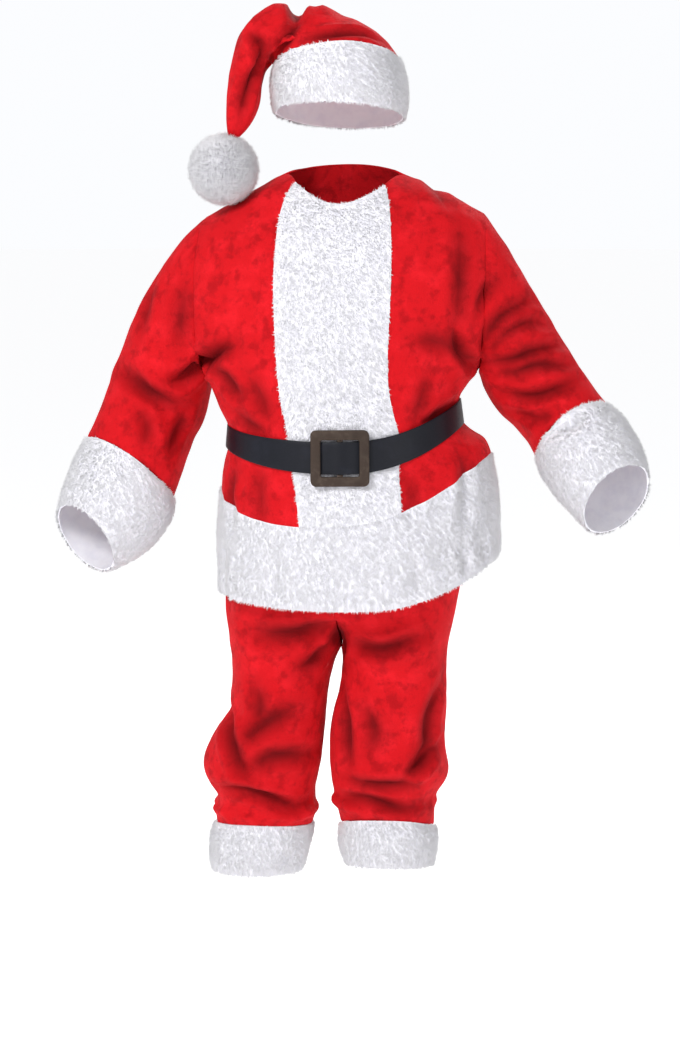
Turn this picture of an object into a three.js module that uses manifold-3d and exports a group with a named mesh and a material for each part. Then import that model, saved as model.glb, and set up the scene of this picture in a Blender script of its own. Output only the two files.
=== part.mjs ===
// A plush santa suit, worn and hollow: hat, jacket with belt, and trousers.
//
// Millimetres. X points to the wearer's left, Y to the back, Z up. The origin is the middle of
// the neck's base, between the shoulders that carry the suit.
//
// Every cloth piece is a grid of points on the outside of the cloth: rows run down or along the
// piece, columns run around it. A wall is then raised on the grid. Pieces that are sewn together
// share the points of their seam, so their edges lie face to face, a seam gap apart.

import * as THREE from "three";
import { mergeVertices } from "three/addons/utils/BufferGeometryUtils.js";
import Module from "manifold-3d";

const wasm = await Module();
wasm.setup();

// ---------------------------------------------------------------- driving dimensions

const CLOTH = 3;              // wall of the red plush cloth
const TRIM = 6;               // how far the white pile stands above the red cloth
const TRIM_EDGE = 3.5;        // the same pile along a seam or a free edge
const TRIM_PRESSED = 1;       // pressed flat under the belt
const TRIM_NEAR_BELT = 2;     // just above and below the belt
const SEAM_GAP = 0.3;         // between the edges of two sewn pieces

const ROUND = 2.3;            // superellipse power of the trunk: 2 is an ellipse, more is squarer

const SHOULDER_NECK = { x: 91, y: -2, z: -5 };       // where the shoulder seam meets the neck
const LEFT_TIP = { x: 231, y: 8, z: -74 };           // outer end of the left shoulder seam
const RIGHT_TIP = { x: -234, y: 8, z: -83 };         // and of the right one
const NECK = { front: -84, frontZ: -62, back: 72, backZ: 6 };
const ARMHOLE_BOW = 10;       // how far an armhole bows out between shoulder tip and armpit
const ARMHOLE_DEEP = 84;      // half its depth from front to back
const EDGE_SHARE = 0.35;      // share of the trunk's half width that follows the armhole

const UPPER_ROWS = 8;         // rows from the shoulder down to the armpit
const FRONT_COLUMNS = 6;      // from an armhole to the edge of the white front band
const BAND_COLUMNS = 5;       // across the white front band
const BACK_COLUMNS = 16;      // across the back
const SHOULDER_COLUMNS = 5;   // along a shoulder seam
const ARM_RING = 2 * UPPER_ROWS;                     // columns round a sleeve
const HAT_RING = 18;          // round the hat
const LEG_RING = 16;          // round a trouser leg

// Waistband: height of its top edge, and how far it draws in above the seam at seamZ.
const WAIST = { z: -462, seamZ: -498, middle: -6, drawSides: 0.95, drawDepth: 0.97 };

// The strap lies lift above the trunk and is inset from the belt's levels by a share of them.
// It rises by bump over the middle bar of the buckle.
const STRAP = { lift: 1.4, thick: 2.6, inset: 0.03, bump: 5 };
const BUCKLE = { wide: 94, high: 90, rim: 16, corner: 9, bevel: 1.2, thick: 5, x: 12, lift: 4.4 };
const MIDDLE_BAR = { wide: 9, thick: 1.6, clear: 4 };
const POMPOM = { radius: 57, x: -194, y: -47, z: -4 };

// ---------------------------------------------------------------- tables

// A short table: named columns, and a row for each level, ring or fold.
function table(columns, rows) {
  return rows.map((row) => Object.fromEntries(columns.map((name, i) => [name, row[i]])));
}

// Levels round the trunk. The height is given at the front, left side, back and right side;
// left and right are where the sides lie, middle is where the front lies between them, and
// edgeRight and edgeLeft are the edges of the white front band. steps is the number of rows
// down to the next level, lean how much higher the front lies towards the left.
const JACKET_LEVELS = table(
  ["steps", "zFront", "zLeft", "zBack", "zRight", "left", "right", "middle", "front", "back",
    "edgeRight", "edgeLeft", "lean"], [
    [2, -350, -336, -345, -353, 220, -228, 0, -162, 128, -92, 79, 0],      // armpits
    [1, -410, -366, -370, -402, 197, -204, 2, -181, 124, -78, 98, 0],      // cloth bags over the belt
    [2, -433, -380, -384, -421, 190, -191, 4, -184, 122, -74, 105, 0],     // top of the belt
    [1, -487, -422, -430, -458, 196, -194, 6, -190, 124, -66, 106, 0],     // bottom of the belt
    [2, -512, -440, -450, -480, 226, -201, 10, -193, 132, -62, 106, 10],   // skirt springs out
    [3, -568, -470, -504, -528, 246, -207, 16, -200, 142, -54, 111, 24],   // seam of the hem band
    [0, -710, -634, -664, -702, 261, -211, 22, -186, 150, -54, 111, 0],    // bottom edge
  ]);
const BELT_TOP = 2;
const BELT_BOTTOM = 3;
const HEM_SEAM = 5;

// Edges of the white front band above the armpits, from the neck down: height and both edges.
const BAND_TOP = table(["down", "edgeRight", "edgeLeft"], [
  [0.0, -76, 70],
  [0.3, -98, 84],
  [0.65, -104, 90],
  [1.0, -92, 79],
]);

// Rings along a sleeve, each given by its outermost and innermost point and its half depth.
// lean is how far the front of a ring lies further up the arm than its middle.
const ARM_COLUMNS = ["steps", "outX", "outY", "outZ", "inX", "inY", "inZ", "deep", "lean"];
const LEFT_SLEEVE = table(ARM_COLUMNS, [
  [1, 231, 8, -74, 220, 2, -336, 82, 0],        // armhole
  [1, 264, 12, -122, 230, 6, -362, 84, 0],
  [2, 297, 22, -178, 241, 12, -382, 84, 0],
  [2, 344, 36, -258, 262, 20, -413, 82, 2],
  [1, 387, 40, -328, 284, 26, -438, 79, 8],     // elbow
  [1, 410, 34, -356, 302, 23, -458, 77, 16],
  [0, 437, 20, -387, 322, 15, -485, 76, 16],    // seam of the cuff
]);
const LEFT_CUFF = table(ARM_COLUMNS, [
  [1, 437, 20, -387, 322, 15, -485, 76, 16],
  [1, 456, 12, -402, 330, 8, -506, 79, 20],
  [2, 479, -6, -434, 352, -8, -536, 80, 26],
  [0, 499, -32, -488, 406, -36, -592, 70, 22],
]);
const RIGHT_SLEEVE = table(ARM_COLUMNS, [
  [1, -234, 8, -83, -228, 2, -353, 82, 0],      // armhole
  [1, -270, 12, -114, -233, 8, -382, 84, 0],
  [2, -311, 20, -166, -238, 12, -404, 85, 0],
  [2, -362, 32, -262, -246, 17, -434, 85, 2],
  [1, -396, 36, -336, -258, 17, -462, 84, 10],  // elbow
  [1, -412, 24, -394, -272, 10, -500, 84, 20],
  [0, -443, 5, -456, -289, 0, -555, 84, 20],    // seam of the cuff
]);
const RIGHT_CUFF = table(ARM_COLUMNS, [
  [1, -443, 5, -456, -289, 0, -555, 84, 20],
  [1, -453, -4, -480, -289, -8, -583, 85, 24],
  [2, -469, -22, -522, -318, -26, -626, 80, 28],
  [0, -478, -44, -566, -388, -50, -668, 66, 24],
]);

// Rings up the hat, tilted back: dip is how far the back of a ring lies below its front, halved.
const HAT_COLUMNS = ["steps", "outX", "outZ", "inX", "inZ", "y", "deep", "dip"];
const HAT_BAND = table(HAT_COLUMNS, [
  [2, 100, 80, -117, 86, 0, 114, 20],
  [2, 102, 122, -121, 124, 0, 117, 27],
  [0, 94, 168, -116, 156, 2, 110, 35],
]);
const HAT_CROWN = table(HAT_COLUMNS, [
  [1, 94, 168, -116, 156, 2, 110, 35],
  [1, 82, 188, -121, 171, 4, 105, 30],
  [1, 59, 211, -130, 176, 5, 99, 22],
  [1, 32, 231, -133, 171, 4, 92, 12],
  [1, -4, 248, -133, 168, 0, 84, 6],
  [1, -42, 257, -133, 162, -6, 76, 2],
  [1, -80, 250, -133, 155, -12, 68, 0],      // a dent between the two humps of the top
  [1, -114, 260, -133, 147, -20, 60, 0],
  [1, -148, 247, -133, 138, -26, 53, 0],
  [1, -169, 222, -132, 127, -32, 46, 0],
  [1, -177, 188, -132, 115, -36, 40, 0],
  [1, -185, 152, -132, 102, -40, 34, 0],
  [1, -189, 116, -136, 87, -43, 28, 0],
  [1, -190, 86, -144, 70, -46, 22, 0],
  [0, -186, 66, -163, 60, -47, 11, 0],       // tip, sewn to the pompom
]);

// Levels down the trousers. rise is how far the front of a ring lies above its sides, front and
// back are where the leg's front and back lie, and closed tells how far the trunk has closed
// into a leg, 1 at the crotch and below.
const LEG_COLUMNS = ["steps", "z", "rise", "outer", "inner", "front", "back", "closed"];
const RIGHT_LEG = table(LEG_COLUMNS, [
  [2, WAIST.seamZ, 0, -182, -6, -164, 108, 0],
  [2, -640, 0, -200, -6, -150, 122, 0],
  [1, -740, 0, -208, -6, -130, 116, 0.2],
  [1, -785, 0, -206, -6, -118, 110, 0.58],
  [1, -812, 0, -199, -6, -108, 106, 1],      // crotch
  [1, -850, 0, -196, -21, -104, 103, 1],
  [1, -884, 0, -196, -27, -100, 100, 1],
  [1, -915, 0, -191, -31, -98, 98, 1],
  [1, -946, 2, -222, -34, -106, 100, 1],
  [1, -980, 4, -242, -36, -104, 98, 1],
  [1, -1008, 6, -249, -40, -100, 98, 1],
  [1, -1038, 8, -232, -50, -96, 98, 1],
  [1, -1058, 10, -216, -50, -88, 92, 1],
  [1, -1082, 12, -228, -44, -94, 98, 1],
  [0, -1110, 14, -221, -53, -86, 92, 1],     // seam of the cuff
]);
const LEFT_LEG = table(LEG_COLUMNS, [
  [2, WAIST.seamZ, 0, 182, -6, -164, 108, 0],
  [2, -640, 0, 212, -6, -150, 122, 0],
  [1, -740, 0, 191, -6, -130, 116, 0.2],
  [1, -785, 0, 182, -6, -118, 110, 0.58],
  [1, -812, 0, 178, -6, -108, 106, 1],
  [1, -850, 0, 178, -7, -104, 103, 1],
  [1, -884, 2, 177, -14, -100, 100, 1],
  [1, -915, 4, 175, -23, -98, 98, 1],
  [1, -946, 6, 169, -26, -98, 98, 1],
  [1, -976, 10, 175, -27, -102, 98, 1],
  [1, -1004, 14, 184, -26, -102, 98, 1],
  [1, -1032, 18, 174, -20, -94, 96, 1],
  [1, -1054, 22, 153, -19, -86, 92, 1],
  [1, -1078, 26, 160, -17, -92, 98, 1],
  [0, -1108, 28, 154, -8, -84, 92, 1],
]);
const CROTCH = 4;
const KNEE = 8;
const RIGHT_TROUSER_CUFF = table(LEG_COLUMNS, [
  [1, -1110, 14, -221, -53, -86, 92, 1],
  [1, -1126, 10, -229, -57, -88, 92, 1],
  [1, -1160, 5, -232, -64, -88, 90, 1],
  [0, -1188, 2, -230, -70, -84, 85, 1],
]);
const LEFT_TROUSER_CUFF = table(LEG_COLUMNS, [
  [1, -1108, 28, 154, -8, -84, 92, 1],
  [1, -1122, 24, 157, -8, -88, 92, 1],
  [1, -1150, 17, 157, -7, -88, 90, 1],
  [0, -1176, 12, 154, 0, -84, 85, 1],
]);

// The largest folds: a trough is negative and a ridge positive. at is the place around the
// piece in degrees, row the place along it, and both widths are half widths at half depth.
const FOLD_COLUMNS = ["row", "at", "deep", "wideRows", "wideAt", "slant"];
const LEFT_SLEEVE_FOLDS = table(FOLD_COLUMNS, [
  [4.6, 120, -9, 0.7, 60, 0.006],            // fan from the armpit
  [6.4, 150, -8, 0.6, 60, 0.004],
  [5.6, 20, 5, 0.8, 50, 0],
]);
const RIGHT_SLEEVE_FOLDS = table(FOLD_COLUMNS, [
  [5.4, 130, -10, 0.8, 60, 0.006],           // crook of the elbow
  [7.0, 100, 7, 0.7, 60, 0],
  [3.6, 40, 5, 0.8, 50, 0],
]);
const LEG_FOLDS = table(FOLD_COLUMNS, [
  [11.2, 120, -7, 0.6, 60, 0.004],           // knee
  [13.0, 80, 6, 0.6, 70, 0],
  [15.0, 110, -7, 0.5, 80, 0],               // bunched above the cuff
  [13.0, 270, 5, 0.7, 60, 0],
  [15.0, 260, -6, 0.5, 80, 0],
]);

// ---------------------------------------------------------------- small helpers

const vector = ({ x, y, z }) => new THREE.Vector3(x, y, z);
const mix = (a, b, t) => a + (b - a) * t;
const power = (value, exponent) => Math.sign(value) * Math.abs(value) ** exponent;
const degrees = THREE.MathUtils.degToRad;
const range = (count) => Array.from({ length: count }, (_, i) => i);

// Value at t on a smooth curve through a column of a table; t is 0 at the first row.
function along(rows, column, t) {
  const i = Math.min(Math.floor(t), rows.length - 2);
  const value = (k) => rows[THREE.MathUtils.clamp(k, 0, rows.length - 1)][column];
  const f = t - i;
  const startSlope = (value(i + 1) - value(i - 1)) / 2;
  const endSlope = (value(i + 2) - value(i)) / 2;
  const bend = 3 * f * f - 2 * f ** 3;
  return mix(value(i), value(i + 1), bend)
    + startSlope * (f ** 3 - 2 * f * f + f) + endSlope * (f ** 3 - f * f);
}

// All the places t of a table's grid rows: steps[i] even steps from row i to row i + 1.
function gridRows(rows) {
  const places = rows.flatMap((row, i) => range(row.steps).map((step) => i + step / row.steps));
  return [...places, rows.length - 1];
}

// A row of a table at t, with every column on its smooth curve.
function levelAt(rows, t) {
  return Object.fromEntries(Object.keys(rows[0]).map((name) => [name, along(rows, name, t)]));
}

// Moves the inner points of a grid towards their neighbours, to round a crease away.
function relax(points, firstRow, lastRow, passes) {
  for (let pass = 0; pass < passes; pass += 1) {
    for (let row = firstRow; row <= lastRow; row += 1) {
      for (let column = 1; column < points[row].length - 1; column += 1) {
        const around = new THREE.Vector3()
          .add(points[row - 1][column])
          .add(points[row + 1][column])
          .add(points[row][column - 1])
          .add(points[row][column + 1])
          .multiplyScalar(0.25);
        points[row][column].lerp(around, 0.5);
      }
    }
  }
}

// ---------------------------------------------------------------- cloth sheets and their walls

// Normals add up here for points that two sheets share, so both edges of a seam match.
const seamNormals = new Map();
const seamKey = (point) => point.toArray().map((value) => Math.round(value * 20)).join(" ");

// A sheet of cloth: points[row][column] with its last column given for every row, also where it
// meets the first. ringFrom is the first row that closes into a ring; with slit, the rows above
// it end on both sides of a middle seam. hollow is a point inside the garment, which tells the
// outside from the inside.
class Sheet {
  constructor(points, hollow, { ringFrom = 0, slit = false } = {}) {
    this.points = points;
    this.ringFrom = ringFrom;
    this.slit = slit;
    this.rows = points.length;
    this.columns = points[0].length;
    this.normals = points.map((line, row) => line.map((_, column) => this.slope(row, column)));
    if (slit) {
      this.flattenSlit();
    }
    this.faceOutwards(hollow);
    this.shareNormals();
  }

  isRing(row) {
    return row >= this.ringFrom;
  }

  slope(row, column) {
    const last = this.columns - 1;
    const wrap = this.isRing(row) && (column === 0 || column === last);
    const before = wrap ? last - 1 : Math.max(column - 1, 0);
    const after = wrap ? 1 : Math.min(column + 1, last);
    const above = this.points[Math.max(row - 1, 0)][column];
    const below = this.points[Math.min(row + 1, this.rows - 1)][column];
    const around = this.points[row][after].clone().sub(this.points[row][before]);
    return around.cross(below.clone().sub(above)).normalize();
  }

  // The edges of a slit at a middle seam keep their wall in the plane of the seam.
  flattenSlit() {
    for (let row = 0; row <= this.ringFrom; row += 1) {
      for (const column of [0, this.columns - 1]) {
        this.normals[row][column].setX(0).normalize();
      }
    }
    this.normals[this.ringFrom][0].set(0, 0, this.normals[0][0].y > 0 ? 1 : -1);
    this.normals[this.ringFrom][this.columns - 1].copy(this.normals[this.ringFrom][0]);
  }

  faceOutwards(hollow) {
    const middle = Math.floor(this.rows / 2);
    const outwards = this.points[middle].reduce(
      (sum, point, column) => sum + this.normals[middle][column].dot(point.clone().sub(hollow)),
      0,
    );
    if (outwards < 0) {
      this.normals.flat().forEach((normal) => normal.negate());
    }
  }

  shareNormals() {
    this.points.forEach((line, row) => line.forEach((point, column) => {
      const key = seamKey(point);
      if (!seamNormals.has(key)) {
        seamNormals.set(key, new THREE.Vector3());
      }
      seamNormals.get(key).add(this.normals[row][column]);
    }));
  }

  normalAt(row, column) {
    return seamNormals.get(seamKey(this.points[row][column])).clone().normalize();
  }

  // The edge of a sheet stops half a seam gap short of its neighbour.
  trimmed(row, column) {
    const point = this.points[row][column].clone();
    const pull = (other) => point.add(
      this.points[other[0]][other[1]].clone().sub(this.points[row][column])
        .setLength(SEAM_GAP / 2),
    );
    if (row === 0) {
      pull([1, column]);
    }
    if (row === this.rows - 1) {
      pull([row - 1, column]);
    }
    if (!this.isRing(row) && column === 0 && !this.slit) {
      pull([row, 1]);
    }
    if (!this.isRing(row) && column === this.columns - 1 && !this.slit) {
      pull([row, column - 1]);
    }
    return point;
  }
}

// Closed wall on a sheet, between two surfaces: each stands out from the sheet by its own
// distance at (row, column), and a negative distance goes in.
function wallGeometry(sheet, outer = () => 0, inner = () => -CLOTH) {
  const corners = [];
  const faces = [];
  const { rows, columns } = sheet;
  for (const distance of [outer, inner]) {
    for (let row = 0; row < rows; row += 1) {
      for (let column = 0; column < columns; column += 1) {
        const from = sheet.isRing(row) && column === columns - 1 ? 0 : column;
        const point = sheet.trimmed(row, from);
        corners.push(point.addScaledVector(sheet.normalAt(row, from), distance(row, from)));
      }
    }
  }
  const id = (side, row, column) => {
    const own = sheet.isRing(row) && column === columns - 1 ? 0 : column;
    return side * rows * columns + row * columns + own;
  };
  const quad = (a, b, c, d) => {
    for (const [p, q, r] of [[a, b, c], [a, c, d]]) {
      if (p !== q && q !== r && r !== p) {
        faces.push(p, q, r);
      }
    }
  };
  // A quad of an edge, from outer points a and b to inner points c and d below them. Its
  // diagonal starts at the higher outer point, so that both edges of a seam are split alike.
  const rim = (a, b, c, d) => {
    if (corners[a].z - corners[b].z > SEAM_GAP) {
      quad(a, b, c, d);
    } else if (corners[b].z - corners[a].z > SEAM_GAP || corners[a].x > corners[b].x) {
      quad(b, c, d, a);
    } else {
      quad(a, b, c, d);
    }
  };
  const last = columns - 1;
  for (let row = 0; row < rows - 1; row += 1) {
    for (let column = 0; column < last; column += 1) {
      quad(id(0, row, column), id(0, row + 1, column),
        id(0, row + 1, column + 1), id(0, row, column + 1));
      quad(id(1, row, column), id(1, row, column + 1),
        id(1, row + 1, column + 1), id(1, row + 1, column));
    }
    if (!sheet.isRing(row)) {
      rim(id(0, row + 1, 0), id(0, row, 0), id(1, row, 0), id(1, row + 1, 0));
      rim(id(0, row, last), id(0, row + 1, last), id(1, row + 1, last), id(1, row, last));
    }
  }
  for (let column = 0; column < last; column += 1) {
    rim(id(0, 0, column), id(0, 0, column + 1), id(1, 0, column + 1), id(1, 0, column));
    rim(id(0, rows - 1, column + 1), id(0, rows - 1, column),
      id(1, rows - 1, column), id(1, rows - 1, column + 1));
  }
  return outwardFacing(corners, faces);
}

// A geometry from a closed list of faces, turned to face out.
function outwardFacing(corners, faces) {
  let volume = 0;
  for (let i = 0; i < faces.length; i += 3) {
    const [a, b, c] = faces.slice(i, i + 3).map((index) => corners[index]);
    volume += a.dot(b.clone().cross(c));
  }
  const geometry = new THREE.BufferGeometry().setFromPoints(corners);
  geometry.setIndex(volume < 0 ? faces.reverse() : faces);
  return geometry;
}

// ---------------------------------------------------------------- jacket: trunk

// Point on the trunk at a level; turn is 0 at the front, 90 at the left side, 180 at the back.
function trunkPoint(level, turn) {
  const side = Math.sin(degrees(turn));
  const ahead = Math.cos(degrees(turn));
  const reach = side > 0 ? level.left - level.middle : level.middle - level.right;
  const x = level.middle + reach * power(side, 2 / ROUND);
  const y = (ahead > 0 ? level.front : -level.back) * power(ahead, 2 / ROUND);
  const sideZ = side > 0 ? level.zLeft : level.zRight;
  const endZ = ahead > 0 ? level.zFront : level.zBack;
  const lean = level.lean * side * Math.max(ahead, 0);
  return new THREE.Vector3(x, y, sideZ * side * side + endZ * ahead * ahead + lean);
}

// The turn at which the trunk's front reaches x.
function turnAt(level, x) {
  const reach = x > level.middle ? level.left - level.middle : level.middle - level.right;
  const share = power((x - level.middle) / reach, ROUND / 2);
  return THREE.MathUtils.radToDeg(Math.asin(share));
}

// Turns of the front's columns, from the right side seam to the left one.
function frontTurns(level) {
  const right = turnAt(level, level.edgeRight);
  const left = turnAt(level, level.edgeLeft);
  return [
    ...range(FRONT_COLUMNS).map((i) => mix(-90, right, i / FRONT_COLUMNS)),
    ...range(BAND_COLUMNS).map((i) => mix(right, left, i / BAND_COLUMNS)),
    ...range(FRONT_COLUMNS + 1).map((i) => mix(left, 90, i / FRONT_COLUMNS)),
  ];
}

const backTurns = range(BACK_COLUMNS + 1).map((i) => 90 + (180 * i) / BACK_COLUMNS);

// Point on the neckline; turn is 0 at the front, 90 at the left side.
function neckPoint(turn) {
  const side = Math.sin(degrees(turn));
  const ahead = Math.cos(degrees(turn));
  const endZ = ahead > 0 ? NECK.frontZ : NECK.backZ;
  const y = SHOULDER_NECK.y + (ahead > 0 ? NECK.front : -NECK.back) * ahead;
  return new THREE.Vector3(
    SHOULDER_NECK.x * side,
    y,
    SHOULDER_NECK.z * side * side + endZ * ahead * ahead,
  );
}

// Columns of the shoulder seam, from the neck to the tip.
function shoulderSeam(tip, steps, sign) {
  const neck = vector(SHOULDER_NECK).setX(sign * SHOULDER_NECK.x);
  return range(steps + 1).map((i) => neck.clone().lerp(vector(tip), i / steps));
}

// Top line of the front: right shoulder, neckline, left shoulder.
function frontTop() {
  const neckTurn = (x) => THREE.MathUtils.radToDeg(Math.asin(x / SHOULDER_NECK.x));
  const right = neckTurn(BAND_TOP[0].edgeRight);
  const left = neckTurn(BAND_TOP[0].edgeLeft);
  return [
    ...shoulderSeam(RIGHT_TIP, SHOULDER_COLUMNS, -1).reverse(),
    ...range(BAND_COLUMNS).map((i) => neckPoint(mix(right, left, i / BAND_COLUMNS))),
    neckPoint(left),
    ...shoulderSeam(LEFT_TIP, SHOULDER_COLUMNS, 1),
  ];
}

// Top line of the back: left shoulder, neckline, right shoulder.
function backTop() {
  const neckSteps = BACK_COLUMNS - 2 * SHOULDER_COLUMNS;
  return [
    ...shoulderSeam(LEFT_TIP, SHOULDER_COLUMNS, 1).reverse(),
    ...range(neckSteps - 1).map((i) => neckPoint(90 + (180 * (i + 1)) / neckSteps)),
    ...shoulderSeam(RIGHT_TIP, SHOULDER_COLUMNS, -1),
  ];
}

// How far round the trunk's section bulges at a share of the way in from its side.
const bulge = (share) => (1 - (1 - share) ** ROUND) ** (1 / ROUND);

// Grid of half a trunk. Above the armpit level each row runs from one armhole edge to the
// other, through the anchor columns whose x the row is given; below it come the levels.
function trunkGrid(top, turnsAt, swell, anchors, anchorX) {
  const armpit = levelAt(JACKET_LEVELS, 0);
  const chest = turnsAt(armpit).map((turn) => trunkPoint(armpit, turn));
  const last = top.length - 1;
  const centre = last / 2;
  const between = (line, column, k) => (line[column].x - line[anchors[k]].x)
    / (line[anchors[k + 1]].x - line[anchors[k]].x);
  const upper = range(UPPER_ROWS).map((row) => {
    const drop = row / UPPER_ROWS;
    const overShoulder = Math.sin(degrees(90 * drop));
    const downFront = 1 - (1 - drop) ** 2.5;
    const armholeX = (column) => mix(top[column].x, chest[column].x, drop)
      + Math.sign(top[column].x) * ARMHOLE_BOW * Math.sin(Math.PI * drop);
    const fixedX = [armholeX(0), ...anchorX(drop), armholeX(last)];
    const middle = Math.floor(centre);
    const centreY = mix(top[middle].y, chest[middle].y, overShoulder);
    return top.map((start, column) => {
      if (row === 0) {
        return start;
      }
      const k = anchors.findIndex((_, i) => column <= anchors[i + 1]);
      const share = mix(between(top, column, k), between(chest, column, k), drop);
      const x = mix(fixedX[k], fixedX[k + 1], share);
      const inwards = 1 - Math.abs(x / armholeX(sideOf(top, x)));
      const edgeY = top[0].y + swell * Math.sin(Math.PI * drop) ** 0.8;
      const sectionY = mix(edgeY, centreY, bulge(Math.max(inwards, 0)));
      const inner = Math.min(inwards / EDGE_SHARE, 1);
      const forward = mix(1, downFront, inner);
      const lowered = mix((1 - Math.cos(Math.PI * drop)) / 2, 1 - Math.cos(degrees(90 * drop)),
        inner);
      return new THREE.Vector3(
        x,
        mix(start.y, sectionY, forward),
        mix(start.z, chest[column].z, lowered),
      );
    });
  });
  const lower = gridRows(JACKET_LEVELS).map((t) => {
    const level = levelAt(JACKET_LEVELS, t);
    return turnsAt(level).map((turn) => trunkPoint(level, turn));
  });
  return [...upper, ...lower];
}

// The end column of a line that lies on the same side as x.
function sideOf(line, x) {
  return Math.sign(line[0].x) === Math.sign(x) ? 0 : line.length - 1;
}

const bandFirst = FRONT_COLUMNS;
const bandLast = FRONT_COLUMNS + BAND_COLUMNS;
const frontLast = 2 * FRONT_COLUMNS + BAND_COLUMNS;

// Both edges of the white band at a share of the way from the neck down to the armpits.
function bandEdges(drop) {
  const t = BAND_TOP.findLastIndex((row) => row.down <= drop);
  const next = BAND_TOP[Math.min(t + 1, BAND_TOP.length - 1)];
  const share = next.down > BAND_TOP[t].down
    ? (drop - BAND_TOP[t].down) / (next.down - BAND_TOP[t].down) : 0;
  return [along(BAND_TOP, "edgeRight", t + share), along(BAND_TOP, "edgeLeft", t + share)];
}

const frontGrid = trunkGrid(frontTop(), frontTurns, -ARMHOLE_DEEP,
  [0, bandFirst, bandLast, frontLast], bandEdges);
const backGrid = trunkGrid(backTop(), () => backTurns, ARMHOLE_DEEP,
  [0, BACK_COLUMNS / 2, BACK_COLUMNS], () => [0]);
relax(frontGrid, 1, UPPER_ROWS + 1, 2);
relax(backGrid, 1, UPPER_ROWS + 1, 2);

const levelRow = (level) => UPPER_ROWS
  + JACKET_LEVELS.slice(0, level).reduce((sum, row) => sum + row.steps, 0);
const seamRow = levelRow(HEM_SEAM);
const chestHollow = new THREE.Vector3(0, 0, -300);

// Columns first to last of the rows down to the hem seam.
const panel = (grid, first, last) => grid.slice(0, seamRow + 1)
  .map((line) => line.slice(first, last + 1));

const open = { ringFrom: Infinity };
const sheets = {
  jacket_front_right: new Sheet(panel(frontGrid, 0, bandFirst), chestHollow, open),
  jacket_front_left: new Sheet(panel(frontGrid, bandLast, frontLast), chestHollow, open),
  jacket_back: new Sheet(panel(backGrid, 0, BACK_COLUMNS), chestHollow, open),
  front_band: new Sheet(panel(frontGrid, bandFirst, bandLast), chestHollow, open),
};

// The hem band goes all round: front columns, then back columns.
const hemGrid = frontGrid.slice(seamRow).map((line, i) => [
  ...line,
  ...backGrid[seamRow + i].slice(1),
]);
sheets.hem_band = new Sheet(hemGrid, new THREE.Vector3(20, 0, -600));

// ---------------------------------------------------------------- sleeves and cuffs

// Depth of a table of folds at a place of a grid.
function foldDepth(folds, row, turn) {
  return folds.reduce((sum, fold) => {
    const away = THREE.MathUtils.euclideanModulo(turn - fold.at + 180, 360) - 180;
    const rows = row - fold.row - fold.slant * away;
    return sum + fold.deep * Math.exp(-((rows / fold.wideRows) ** 2))
      * Math.exp(-((away / fold.wideAt) ** 2));
  }, 0);
}

// A ring from its outermost to its innermost point and back, with columns around it.
function limbRing(ring, path, columns, grow) {
  const outer = new THREE.Vector3(ring.outX, ring.outY, ring.outZ);
  const inner = new THREE.Vector3(ring.inX, ring.inY, ring.inZ);
  const centre = outer.clone().add(inner).multiplyScalar(0.5);
  const across = outer.clone().sub(inner).multiplyScalar(0.5);
  const frontwards = across.clone().normalize().cross(path.clone().normalize());
  if (frontwards.y > 0) {
    frontwards.negate();
  }
  const leaning = frontwards.normalize().multiplyScalar(ring.deep)
    .addScaledVector(path.clone().normalize(), -ring.lean);
  return range(columns + 1).map((i) => {
    const turn = (360 * i) / columns;
    const swell = grow(turn);
    const up = Math.cos(degrees(turn)) * (1 + swell / across.length());
    const ahead = Math.sin(degrees(turn)) * (1 + swell / ring.deep);
    return centre.clone()
      .addScaledVector(across, up)
      .addScaledVector(leaning, ahead);
  });
}

// Rings of a sleeve or cuff on its table.
function limbGrid(rows, columns, folds) {
  const places = gridRows(rows);
  const centreAt = (t) => {
    const ring = levelAt(rows, t);
    return new THREE.Vector3(ring.outX + ring.inX, ring.outY + ring.inY, ring.outZ + ring.inZ)
      .multiplyScalar(0.5);
  };
  const last = rows.length - 1;
  return places.map((t, row) => {
    const path = centreAt(Math.min(t + 0.5, last)).sub(centreAt(Math.max(t - 0.5, 0)));
    const grow = (turn) => foldDepth(folds, row, turn);
    return limbRing(levelAt(rows, t), path, columns, grow);
  });
}

// The armhole: down its front edge from the shoulder tip, and up its back edge.
function armhole(side) {
  const front = frontGrid.slice(0, UPPER_ROWS + 1)
    .map((line) => (side === "left" ? line[frontLast] : line[0]).clone());
  const back = backGrid.slice(0, UPPER_ROWS + 1)
    .map((line) => (side === "left" ? line[0] : line[BACK_COLUMNS]).clone());
  return [...front, ...back.reverse().slice(1)];
}

function addSleeve(side, sleeveRows, cuffRows, folds) {
  const grid = limbGrid(sleeveRows, ARM_RING, folds);
  const cuff = limbGrid(cuffRows, ARM_RING, []);
  grid[0] = armhole(side);
  cuff[0] = grid[grid.length - 1].map((point) => point.clone());
  const middle = Math.floor(grid.length / 2);
  const average = (line) => line.reduce((sum, point) => sum.add(point), new THREE.Vector3())
    .divideScalar(line.length);
  sheets[`sleeve_${side}`] = new Sheet(grid, average(grid[middle]));
  sheets[`cuff_${side}`] = new Sheet(cuff, average(cuff[1]));
}

addSleeve("right", RIGHT_SLEEVE, RIGHT_CUFF, RIGHT_SLEEVE_FOLDS);
addSleeve("left", LEFT_SLEEVE, LEFT_CUFF, LEFT_SLEEVE_FOLDS);

// ---------------------------------------------------------------- hat

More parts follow.
